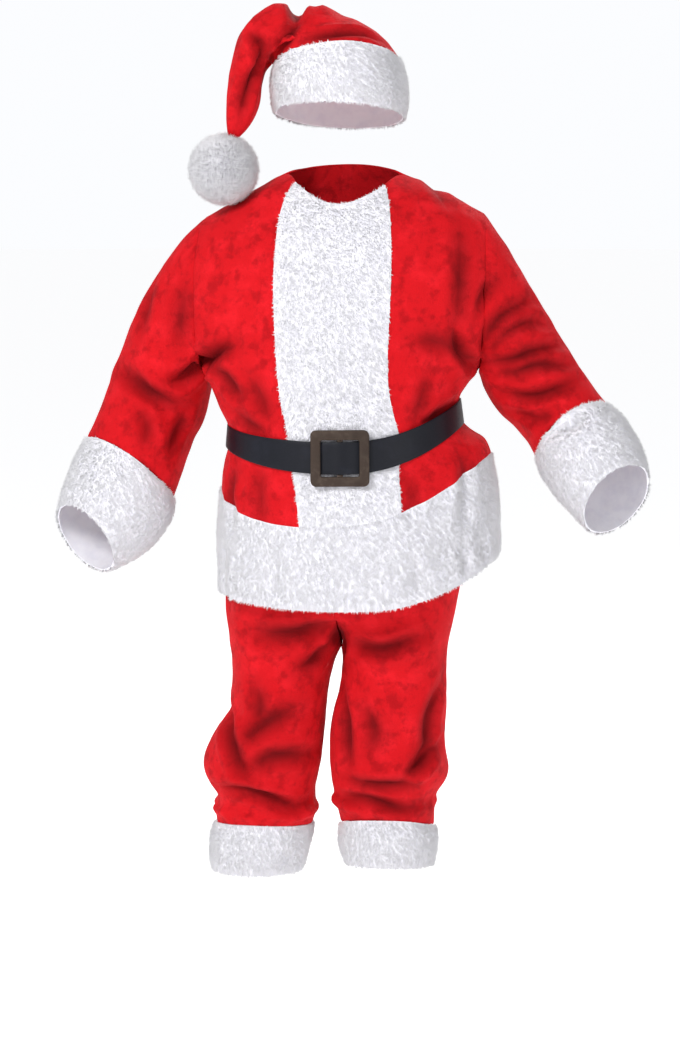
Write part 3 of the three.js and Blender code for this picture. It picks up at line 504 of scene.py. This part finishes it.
# %% Sink the cloth along the lines
DEPTH = 1.45           # all folds deepen together
DEEPEST, HIGHEST = -24 * MM, 8 * MM
SWELL = 0.40           # how far the cloth rises beside a fold, as a share of its depth
SWELL_AT, SWELL_WIDE = 2.1, 0.85       # where it rises and how widely, in half widths
SHARP = 1.25           # 1 is a pointed bottom, 2 a round one
SHADE_WIDE, SHADE_SHARP = 1.45, 1.6    # the same for the painted shade in the fold
SHADE_FULL = 7 * MM    # a fold this deep gets the full painted shade
END, END_FADE = 0.03, 0.55             # how a fold runs out at its two ends
TURNED_AWAY = 0.5      # cloth that faces another way than the fold isn't part of it


def sunk(points, normals):
    """How far each point moves along its normal, and the painted shade of its fold, from 0 to 1."""
    move, painted_shade = np.zeros(len(points)), np.zeros(len(points))
    for depth, width, line, line_normals in folds:
        reach = 4 * width
        near = np.all((points > line.min(0) - reach) & (points < line.max(0) + reach), axis=1)
        if not near.any():
            continue
        p = points[near][:, None]
        a, b = line[:-1][None], line[1:][None]
        t = np.clip(((p - a) * (b - a)).sum(2) / np.maximum(((b - a) ** 2).sum(2), 1e-12), 0, 1)
        gap = np.linalg.norm(p - a - t[..., None] * (b - a), axis=2)
        best = gap.argmin(1)
        rows = np.arange(len(best))
        d = gap[rows, best]
        along = (best + t[rows, best]) / (len(line) - 1)
        fade = np.sin(math.pi * np.clip(along, END, 1 - END)) ** END_FADE
        fade *= np.clip((normals[near] * line_normals[best]).sum(1) / TURNED_AWAY, 0, 1)
        trough = np.exp(-(d / width) ** SHARP)
        ridge = np.exp(-((d - SWELL_AT * width) / (SWELL_WIDE * width)) ** 2)
        move[near] += DEPTH * depth * fade * (SWELL * ridge - trough)
        # painted shade: the colour darkens along the fold, most in its middle
        dark = np.exp(-(d / (SHADE_WIDE * width)) ** SHADE_SHARP)
        painted_shade[near] = np.maximum(painted_shade[near], fade * dark * min(1, max(0, depth) / SHADE_FULL))
    return np.clip(move, DEEPEST, HIGHEST), painted_shade


print("folds deepen by", DEPTH)

# %% [markdown]
# ## Unevenness, the roll over the trouser cuffs and the end of the hat
# Between the folds hanging plush is never quite even, so slow noise moves it by a millimetre or
# two. The trousers are gathered into their cuffs and roll over them. The end of the hat hangs down
# into the pile of its pompom.

# %% Unevenness and the roll
# height and size of the slow waves and of the quicker ones
SLOW_WAVE, QUICK_WAVE = (2.4 * MM, 70 * MM), (1.1 * MM, 28 * MM)
ELSEWHERE = Vector((3.1, 7.7, 1.9))    # keeps the two waves apart
ROLL, ROLL_UP, ROLL_WIDE = 7 * MM, 13 * MM, 9 * MM
ROLL_WAVE = 24 * MM


def swell(point):
    """The gentle unevenness of hanging plush."""
    return (SLOW_WAVE[0] * noise.noise(point / SLOW_WAVE[1])
            + QUICK_WAVE[0] * noise.noise(point / QUICK_WAVE[1] + ELSEWHERE))


def roll(points, edge_z):
    """The soft roll of the cloth just above the edge that it is gathered into."""
    wave = np.array([noise.noise(Vector(p) / ROLL_WAVE) for p in points])
    up = points[:, 2] - edge_z - ROLL_UP * (1 + 0.5 * wave)
    return ROLL * (0.75 + 1.1 * wave) * np.exp(-(up / ROLL_WIDE) ** 2)


print("roll over the cuffs:", ROLL / MM, "mm")

# %% The end of the hat
pompom_middle = sum((Vector(c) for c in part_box("pompom")), Vector()) / 2
TAIL_REACH, TAIL_LONG = 17 * MM, 75 * MM


def to_pompom(points):
    """The end of the hat, let down until it goes into the pile of the pompom."""
    gap = np.linalg.norm(points - np.array(pompom_middle), axis=1)
    near = np.clip(1 - (gap - gap.min()) / TAIL_LONG, 0, 1)[:, None]
    way = (np.array(pompom_middle) - points) / gap[:, None]
    return points + way * TAIL_REACH * near ** 1.5


print("middle of the pompom:", [round(v, 3) for v in pompom_middle])

# %% [markdown]
# ## Moving the cloth
# Every point moves along its normal. At a seam two pieces meet, and their own normals differ, so
# they would part. There all points take the mean of the normals that meet. The red cloth dips a
# little at its seams, and the cloth under white pile is pulled in to leave room for the pile.

# %% Points, normals and edges of the pieces


def as_array(piece, what="co"):
    """The points of a piece, or their normals, as an array."""
    out = np.empty(3 * len(piece.data.vertices))
    if what == "co":
        piece.data.vertices.foreach_get("co", out)
    else:
        piece.data.vertex_normals.foreach_get("vector", out)
    return out.reshape(-1, 3)


def rim_points(piece):
    """The numbers of the points on the open edges of a piece."""
    bm = bmesh.new()
    bm.from_mesh(piece.data)
    found = [v.index for v in bm.verts if v.is_boundary]
    bm.free()
    return found


normals = {name: as_array(skin, "normal") for name, skin in skins.items()}
rims = {name: rim_points(skin) for name, skin in skins.items()}
print("points on edges:", sum(len(rim) for rim in rims.values()))

# %% One normal for both sides of a seam
seam = KDTree(sum(len(rims[name]) for name in RED))
seam_normals = []
for name in RED:
    for i in rims[name]:
        seam.insert(skins[name].data.vertices[i].co, len(seam_normals))
        seam_normals.append(normals[name][i])
seam.balance()
for name in RED:
    for i in rims[name]:
        met = seam.find_range(skins[name].data.vertices[i].co, SEAM_REACH)
        shared = sum(seam_normals[number] for _, number, _ in met)
        normals[name][i] = shared / np.linalg.norm(shared)
print("seam points of red cloth:", len(seam_normals))

# %% Move every piece
SEAM_SINK = 1.3 * MM
PULLED_IN = 4.0 * MM     # how far the cloth under white pile lies below the tips of the pile
for name in RED + WHITE:
    skin = skins[name]
    points = as_array(skin)
    move, painted_shade = sunk(points, normals[name])
    move += np.array([swell(Vector(p)) for p in points])
    if name.startswith("trouser_leg"):
        move += roll(points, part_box(name.replace("leg", "cuff"))[1][2])
    if name in RED:
        move[rims[name]] -= SEAM_SINK
    else:
        move -= PULLED_IN
    points = points + normals[name] * move[:, None]
    if name == "hat_crown":
        points = to_pompom(points)
    skin.data.vertices.foreach_set("co", points.ravel())
    # the fold attribute carries the painted shade of the folds, which darkens the red plush
    skin.data.attributes.new("fold", "FLOAT", "POINT").data.foreach_set("value", painted_shade)
    skin.data.update()
    print(f"{name}: moves {move.min() / MM:.1f} to {move.max() / MM:.1f} mm")

# %% [markdown]
# ## Short red plush and the cloth under the pile
# A Solidify modifier gives each piece its thickness again, inwards, so that the outer face stays
# where it is. The result is a closed piece of cloth with a folded edge.

# %% Thickness
CLOTH = 3 * MM
SMOOTH = math.radians(60)  # an edge sharper than this stays a hard edge


def thicken(piece, thickness):
    """Gives a piece of cloth its thickness, inwards from its outer face."""
    wall = piece.modifiers.new("thickness", "SOLIDIFY")
    wall.thickness = thickness
    wall.offset = -1
    apply_modifiers(piece)


outer = {name: (as_array(skins[name]), as_array(skins[name], "normal")) for name in WHITE}
faces = {name: [tuple(p.vertices) for p in skins[name].data.polygons] for name in WHITE}
for name in RED + WHITE:
    thicken(skins[name], CLOTH)
    only(skins[name])
    bpy.ops.object.shade_smooth_by_angle(angle=SMOOTH)
print("triangles of cloth:", sum(2 * len(skins[n].data.polygons) for n in RED + WHITE))

# %% [markdown]
# ## White pile
# The white trim is a deep pile that has felted into small tufts. Hair particles would not be kept
# as a mesh, so each tuft is a thin closed spike of four faces. Thousands of them are set on the
# outer face of the cloth, evenly but at random. They lie over to one side under their own weight,
# and neighbours share a tip, which makes the small curls. At the edges they fall over the red.

# %% Random places on a piece of cloth
rng = np.random.default_rng(24)        # the same tufts on every run
DOWN = np.array([0.0, 0.0, -1.0])


def unit(rows):
    """The rows as directions of length one."""
    return rows / np.maximum(np.linalg.norm(rows, axis=1), 1e-9)[:, None]


def scatter(points, point_normals, squares, count):
    """Random places on the squares, evenly by area, with their normals."""
    quads = np.array([s for s in squares if len(s) == 4])
    corners_of = points[quads]
    area = np.linalg.norm(np.cross(corners_of[:, 2] - corners_of[:, 0],
                                   corners_of[:, 3] - corners_of[:, 1]), axis=1)
    chosen = rng.choice(len(quads), count, p=area / area.sum())
    u, v = rng.random((2, count, 1))
    weights = [(1 - u) * (1 - v), u * (1 - v), u * v, (1 - u) * v]
    place = sum(w * corners_of[chosen, i] for i, w in enumerate(weights))
    facing = sum(w * point_normals[quads][chosen, i] for i, w in enumerate(weights))
    return place, unit(facing)


print("down:", DOWN)

# %% The way to the nearest edge


def away_from_middle(place, rim, reach):
    """Points towards the nearest edge, more strongly the nearer it is."""
    tree = KDTree(len(rim))
    for i, p in enumerate(rim):
        tree.insert(p, i)
    tree.balance()
    out = np.zeros_like(place)
    for i, p in enumerate(place):
        edge, _, gap = tree.find(p)
        if gap < reach:
            out[i] = (np.array(edge) - p) / max(gap, 1e-6) * (1 - gap / reach)
    return out


print("random places come from", rng.bit_generator.__class__.__name__)

# %% Build the spikes
SOFT = 4.0                 # how much the tufts catch light as one surface, not as spikes
UNRULY = 0.33              # how much each tuft leans its own way
TALL, SHORT = 1.15, 0.7    # the longest and the shortest tuft, as shares of the length
CURL = 9                   # tufts that share one curl
CURL_UP = 0.2              # how far up a tuft looks for its curl
MORE, LESS = 1.2, 0.5      # how unevenly the tufts join the curl
ROOTED = 1.2 * MM          # how deep a tuft stands in the cloth
THIRDS = (0, 2 * math.pi / 3, 4 * math.pi / 3)
SIDES = ((0, 1, 3), (1, 2, 3), (2, 0, 3), (2, 1, 0))


def tufts(name, place, facing, lean, length, thick, clump):
    """Closed spikes of four faces, from the places, along facing plus lean."""
    count = len(place)
    way = unit(facing + lean + rng.normal(0, UNRULY, (count, 3)))
    tall = length * rng.uniform(SHORT, TALL, count)[:, None]
    tips = place + way * tall
    heads = rng.choice(count, max(1, count // CURL), replace=False)
    tree = KDTree(len(heads))
    for i in heads:
        tree.insert(place[i] + way[i] * CURL_UP * length, i)
    tree.balance()
    nearest = np.array([tree.find(p)[1] for p in place])
    tips += (tips[nearest] - tips) * clump * rng.uniform(LESS, MORE, count)[:, None]
    side = unit(np.cross(way, rng.normal(0, 1, (count, 3))))
    other = np.cross(way, side)
    root = place - facing * ROOTED
    ring = [root + thick * (math.cos(a) * side + math.sin(a) * other) for a in THIRDS]
    corner = np.stack(ring + [tips], axis=1).reshape(-1, 3)
    first = 4 * np.arange(count)[:, None]
    spikes = np.concatenate([first + np.array(side_points) for side_points in SIDES])
    mesh = bpy.data.meshes.new(name)
    mesh.from_pydata(corner.tolist(), [], spikes.tolist())
    # tip runs from 0 at the root to 1 at the tip; the pile's finish paints the roots darker with it,
    # as shade
    mesh.attributes.new("tip", "FLOAT", "POINT").data.foreach_set(
        "value", np.tile([0.0, 0.0, 0.0, 1.0], count))
    mesh.attributes.new("own", "FLOAT", "POINT").data.foreach_set(
        "value", np.repeat(rng.random(count), 4))
    mesh.polygons.foreach_set("use_smooth", np.ones(len(mesh.polygons), dtype=bool))
    mesh.update()
    soft = [unit(SOFT * facing + (r - root) / thick) for r in ring] + [unit(SOFT * facing + way)]
    mesh.normals_split_custom_set_from_vertices(np.stack(soft, axis=1).reshape(-1, 3))
    made = bpy.data.objects.new(name, mesh)
    bpy.context.scene.collection.objects.link(made)
    return made


print("faces of a tuft:", len(SIDES))

# %% Cover the white pieces
TUFTS = {"front_band": 22000, "hem_band": 49000, "cuff_right": 19000, "cuff_left": 17000,
         "hat_band": 15000, "trouser_cuff_right": 12000, "trouser_cuff_left": 11000}
PILE, THICK, CLUMP = 6.5 * MM, 1.0 * MM, 0.3
EDGE = 12 * MM             # tufts nearer to an edge than this lean over it
FALL_SHARE, EDGE_SHARE = 0.75, 0.9
piles = {}
for name, count in TUFTS.items():
    points, point_normals = outer[name]
    place, facing = scatter(points, point_normals, faces[name], count)
    fall = DOWN - facing * (facing @ DOWN)[:, None]
    edge = away_from_middle(place, points[rims[name]], EDGE)
    piles[name] = tufts(name + ".pile", place, facing, FALL_SHARE * fall + EDGE_SHARE * edge,
                        PILE, THICK, CLUMP)
print("tufts:", sum(TUFTS.values()))

# %% [markdown]
# ## Pompom
# The pompom is a stuffed ball of the same pile. An icosphere has even faces all round, so it is
# the start. Noise pushes and pulls it into a slightly uneven ball, and longer tufts cover it.

# %% The stuffed ball
low, high = (np.array(corner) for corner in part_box("pompom"))
ball_middle, ball_radius = (low + high) / 2, (high - low).min() / 2
BALL_PILE, BALL_CLUMP, BALL_FALL = 14 * MM, 0.4, 0.35
BALL_TUFTS = 20000
LUMP, LUMP_SIZE = 2.5 * MM, 22 * MM
core = ball_radius - 0.7 * BALL_PILE   # the rest of the radius is pile
only()
bpy.ops.mesh.primitive_ico_sphere_add(subdivisions=5, radius=core, location=ball_middle)
ball = bpy.context.object
ball.name = "pompom.ball"
bpy.ops.object.transform_apply(location=True, rotation=True, scale=True)
for vertex in ball.data.vertices:
    out = (vertex.co - Vector(ball_middle)).normalized()
    vertex.co += out * LUMP * noise.noise(vertex.co / LUMP_SIZE)
ball.data.polygons.foreach_set("use_smooth", np.ones(len(ball.data.polygons), dtype=bool))
ball.data.update()
print("pompom radius:", round(ball_radius / MM, 1), "mm")

# %% Its pile
way_out = unit(rng.normal(0, 1, (BALL_TUFTS, 3)))
place = ball_middle + way_out * core
fall = DOWN - way_out * (way_out @ DOWN)[:, None]
piles["pompom"] = tufts("pompom.pile", place, way_out, BALL_FALL * fall, BALL_PILE, THICK,
                        BALL_CLUMP)
print("tufts of the pompom:", BALL_TUFTS)

# %% [markdown]
# ## Belt
# The strap is a flat band of imitation leather with soft rounded edges. It is the outer face of the
# strap's solid with its thickness put back, and a Bevel modifier rounds the four long edges.

# %% Strap
STRAP = 2.6 * MM


def round_edges(piece, width, sharper_than, smooth_below):
    """Rounds the edges of a piece that are sharper than an angle, in degrees."""
    rounding = piece.modifiers.new("edges", "BEVEL")
    rounding.width = width
    rounding.segments = 3
    rounding.limit_method = "ANGLE"
    rounding.angle_limit = math.radians(sharper_than)
    apply_modifiers(piece)
    only(piece)
    bpy.ops.object.shade_smooth_by_angle(angle=math.radians(smooth_below))


strap = skins["belt_strap"]
thicken(strap, STRAP)
round_edges(strap, 0.8 * MM, sharper_than=50, smooth_below=35)
print("strap faces:", len(strap.data.polygons))

# %% [markdown]
# ## Buckle
# The buckle is a cast square frame with one middle bar. A copy of its solid is merged and its flat
# faces are joined, and a Bevel modifier turns the hard edges into the soft ones of a casting.

# %% Buckle
only()
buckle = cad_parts["buckle"].copy()
buckle.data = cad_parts["buckle"].data.copy()
buckle.name = "buckle.cast"
bpy.context.scene.collection.objects.link(buckle)
only(buckle)
bpy.ops.object.mode_set(mode="EDIT")
bpy.ops.mesh.select_all(action="SELECT")
bpy.ops.mesh.remove_doubles(threshold=MERGE)
bpy.ops.mesh.dissolve_limited(angle_limit=math.radians(2))
bpy.ops.object.mode_set(mode="OBJECT")
round_edges(buckle, 0.9 * MM, sharper_than=25, smooth_below=40)
print("buckle faces:", len(buckle.data.polygons))

# %% [markdown]
# ## Shared effects of the finishes
# Cloth, leather and metal all show large soft patches, where a pile is brushed another way or a
# hide has been handled, and a fine grain. Both are built once as node groups, each with its own
# inputs, and placed in every finish. They read Object coordinates, so they need no unwrapping.

# %% Helpers for nodes
def new_group(name, inputs, outputs):
    """An empty shader node group with named sockets."""
    made = bpy.data.node_groups.new(name, "ShaderNodeTree")
    for label, kind, value in inputs:
        socket = made.interface.new_socket(label, in_out="INPUT", socket_type=kind)
        socket.default_value = value
    for label, kind in outputs:
        made.interface.new_socket(label, in_out="OUTPUT", socket_type=kind)
    return made, made.nodes.new("NodeGroupInput"), made.nodes.new("NodeGroupOutput")


def add(tree, kind, values=(), **settings):
    """A node with its settings and the values of its inputs."""
    node = tree.nodes.new(kind)
    for key, value in settings.items():
        setattr(node, key, value)
    for key, value in values:
        node.inputs[key].default_value = value
    return node


print("helpers ready")

# %% Soft patches: a mask from 0 to 1
patches, come, go = new_group(
    "soft patches",
    [("Size", "NodeSocketFloat", 20.0), ("From", "NodeSocketFloat", 0.35),
     ("To", "NodeSocketFloat", 0.65)],
    [("Mask", "NodeSocketFloat")])
where = add(patches, "ShaderNodeTexCoord")
cloud = add(patches, "ShaderNodeTexNoise", [("Detail", 4.0), ("Roughness", 0.6)])
spread = add(patches, "ShaderNodeMapRange", interpolation_type="SMOOTHSTEP")
patches.links.new(where.outputs["Object"], cloud.inputs["Vector"])
patches.links.new(come.outputs["Size"], cloud.inputs["Scale"])
patches.links.new(cloud.outputs["Fac"], spread.inputs["Value"])
patches.links.new(come.outputs["From"], spread.inputs["From Min"])
patches.links.new(come.outputs["To"], spread.inputs["From Max"])
patches.links.new(spread.outputs["Result"], go.inputs["Mask"])
print("inputs:", [s.name for s in patches.interface.items_tree if s.in_out == "INPUT"])

# %% Fine grain: a height, from dust to leather cells
grain, come, go = new_group(
    "fine grain",
    [("Size", "NodeSocketFloat", 700.0), ("Cells", "NodeSocketFloat", 0.0)],
    [("Height", "NodeSocketFloat")])
where = add(grain, "ShaderNodeTexCoord")
dust = add(grain, "ShaderNodeTexNoise", [("Detail", 3.0), ("Roughness", 0.7)])
cells = add(grain, "ShaderNodeTexVoronoi")
blend = add(grain, "ShaderNodeMix", data_type="FLOAT")
for node in (dust, cells):
    grain.links.new(where.outputs["Object"], node.inputs["Vector"])
    grain.links.new(come.outputs["Size"], node.inputs["Scale"])
grain.links.new(come.outputs["Cells"], blend.inputs["Factor"])
grain.links.new(dust.outputs["Fac"], blend.inputs["A"])
grain.links.new(cells.outputs["Distance"], blend.inputs["B"])
grain.links.new(blend.outputs["Result"], go.inputs["Height"])
print("groups:", [g.name for g in bpy.data.node_groups])

# %% [markdown]
# ## Finishes
# Each finish lays tints over a base colour, one after another, and each tint has a mask. A mask is
# either a group of soft patches or an attribute that was written on the mesh: how deep the cloth
# lies in a fold, which paints shade into the folds, and how near a point is to the tip of its tuft,
# which paints the roots of the pile darker as shade. The grain drives roughness and bump.

# %% Lay tints over a base colour


def lay_tint(tree, color, tint, source, strength):
    """Mixes a tint over a colour where its mask is, and returns the result's socket."""
    if isinstance(source, str):
        mask = add(tree, "ShaderNodeAttribute", attribute_name=source).outputs["Fac"]
    else:
        node = add(tree, "ShaderNodeGroup", node_tree=patches)
        for key, value in zip(("Size", "From", "To"), source):
            node.inputs[key].default_value = value
        mask = node.outputs["Mask"]
    amount = add(tree, "ShaderNodeMath", [(1, strength)], operation="MULTIPLY")
    mixed = add(tree, "ShaderNodeMix", data_type="RGBA")
    tree.links.new(mask, amount.inputs[0])
    tree.links.new(amount.outputs[0], mixed.inputs["Factor"])
    if isinstance(color, tuple):
        mixed.inputs["A"].default_value = (*color, 1)
    else:
        tree.links.new(color, mixed.inputs["A"])
    mixed.inputs["B"].default_value = (*tint, 1)
    return mixed.outputs["Result"]


print("a tint is a colour, a mask and a strength")

# %% A whole finish
def finish(name, base, tints, rough, grain_values, bump, shader_values=()):
    """A material. tints are (colour, mask source, strength); a mask source is the values of
    soft patches or the name of an attribute. rough is (low, high), grain_values the size and the
    share of cells, and bump the strength and the height in millimetres."""
    made = bpy.data.materials.new(name)
    made.use_nodes = True
    tree = made.node_tree
    shader = tree.nodes["Principled BSDF"]
    color = base
    for tint, source, strength in tints:
        color = lay_tint(tree, color, tint, source, strength)
    tree.links.new(color, shader.inputs["Base Color"])
    fine = add(tree, "ShaderNodeGroup", node_tree=grain)
    fine.inputs["Size"].default_value, fine.inputs["Cells"].default_value = grain_values
    roughness = add(tree, "ShaderNodeMapRange", [("To Min", rough[0]), ("To Max", rough[1])])
    height = add(tree, "ShaderNodeBump", [("Strength", bump[0]), ("Distance", bump[1] * MM)])
    tree.links.new(fine.outputs["Height"], roughness.inputs["Value"])
    tree.links.new(fine.outputs["Height"], height.inputs["Height"])
    tree.links.new(roughness.outputs["Result"], shader.inputs["Roughness"])
    tree.links.new(height.outputs["Normal"], shader.inputs["Normal"])
    for key, value in shader_values:
        shader.inputs[key].default_value = value
    return made


print("a finish feeds base colour, roughness and normal")

# %% [markdown]
# ## Red plush
# Plush is woven with a short upright pile. Brushed one way it looks bright, the other way deep
# red, in patches as large as a hand and as small as a finger. In a fold its colour is painted
# darkest, as painted shade. A red sheen, set on the shader, lights the cloth where it turns away.

# %% Red plush
red_plush = finish(
    "red plush", (0.64, 0.005, 0.010),
    [((0.78, 0.010, 0.018), (26.0, 0.45, 0.68), 0.75),       # brushed up
     ((0.32, 0.001, 0.004), (44.0, 0.47, 0.68), 0.60),       # brushed down
     ((0.46, 0.003, 0.007), (120.0, 0.50, 0.80), 0.45),      # small marks
     # painted shade: the fold attribute darkens the red in every fold
     ((0.12, 0.0004, 0.002), "fold", 0.92)],
    rough=(0.72, 0.95), grain_values=(520.0, 0.0), bump=(0.6, 2.0),
    shader_values=[("Sheen Weight", 0.22), ("Sheen Roughness", 0.45),
                   ("Sheen Tint", (1, 0.06, 0.08, 1)), ("Specular IOR Level", 0.15)])
print("red plush:", len(red_plush.node_tree.nodes), "nodes")

# %% [markdown]
# ## White pile and its backing
# The pile is almost white. Its colour is painted a little lilac and darker at the roots and
# brightest at the tips, as painted shade deep in the pile, and no two tufts are quite alike. The
# backing below it is the same white, a shade darker.

# %% White pile and its backing
white_cloth = finish(
    "white backing", (0.90, 0.89, 0.94),
    [((0.80, 0.79, 0.87), (50.0, 0.4, 0.7), 0.7)],
    rough=(0.85, 0.98), grain_values=(700.0, 0.0), bump=(0.5, 1.2),
    shader_values=[("Specular IOR Level", 0.1)])
white_pile = finish(
    "white pile", (0.91, 0.90, 0.95),
    # painted shade: the roots of the tufts darker and lilac, the tips brightest
    [((0.985, 0.98, 1.0), "tip", 0.9),
     ((0.93, 0.92, 0.98), (40.0, 0.45, 0.75), 0.5),
     ((0.99, 0.985, 1.0), "own", 0.4)],
    rough=(0.8, 0.98), grain_values=(900.0, 0.0), bump=(0.2, 0.5),
    shader_values=[("Specular IOR Level", 0.1), ("Sheen Weight", 0.2), ("Sheen Roughness", 0.6)])
print("white pile:", len(white_pile.node_tree.nodes), "nodes")

# %% [markdown]
# ## Black leather
# The belt is imitation leather, blue-black, with a small embossed grain and a half gloss that a
# thin coat gives. Handling has made some places greyer and some deeper.

# %% Black leather
belt_leather = finish(
    "black leather", (0.004, 0.005, 0.010),
    [((0.010, 0.011, 0.020), (30.0, 0.45, 0.75), 0.7),
     ((0.004, 0.004, 0.008), (12.0, 0.4, 0.7), 0.5)],
    rough=(0.40, 0.60), grain_values=(420.0, 0.7), bump=(0.35, 0.35),
    shader_values=[("Coat Weight", 0.06), ("Coat Roughness", 0.35), ("Specular IOR Level", 0.25)])
print("black leather:", len(belt_leather.node_tree.nodes), "nodes")

# %% [markdown]
# ## Old metal
# The buckle is an old bronze colour, dull and brown, lighter where it has been rubbed and nearly
# black where it has tarnished.

# %% Old metal
old_metal = finish(
    "old metal", (0.070, 0.050, 0.040),
    [((0.13, 0.098, 0.078), (90.0, 0.45, 0.75), 0.6),
     ((0.03, 0.022, 0.018), (45.0, 0.5, 0.75), 0.6)],
    rough=(0.35, 0.55), grain_values=(600.0, 0.3), bump=(0.25, 0.3),
    shader_values=[("Metallic", 0.85)])
print("finishes:", [m.name for m in bpy.data.materials])

# %% [markdown]
# ## What each piece is
# Every piece gets its finish and rides on the one body of the suit. Where a piece takes the place of
# a solid of the imported model, that solid is hidden.

# %% Bodies, slots and finishes
def settle(piece, material, node=None):
    """Gives a piece its finish and its body, and hides the solid that it takes the place of."""
    piece.data.materials.clear()
    piece.data.materials.append(material)
    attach(piece, "root")
    if node:
        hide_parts(node)


for name in RED:
    settle(skins[name], red_plush, name)
for name in WHITE:
    settle(skins[name], white_cloth, name)
settle(ball, white_cloth, "pompom")
for pile in piles.values():
    settle(pile, white_pile)
settle(strap, belt_leather, "belt_strap")
settle(buckle, old_metal, "buckle")
print("pieces:", len(RED) + len(WHITE) + len(piles) + 3)
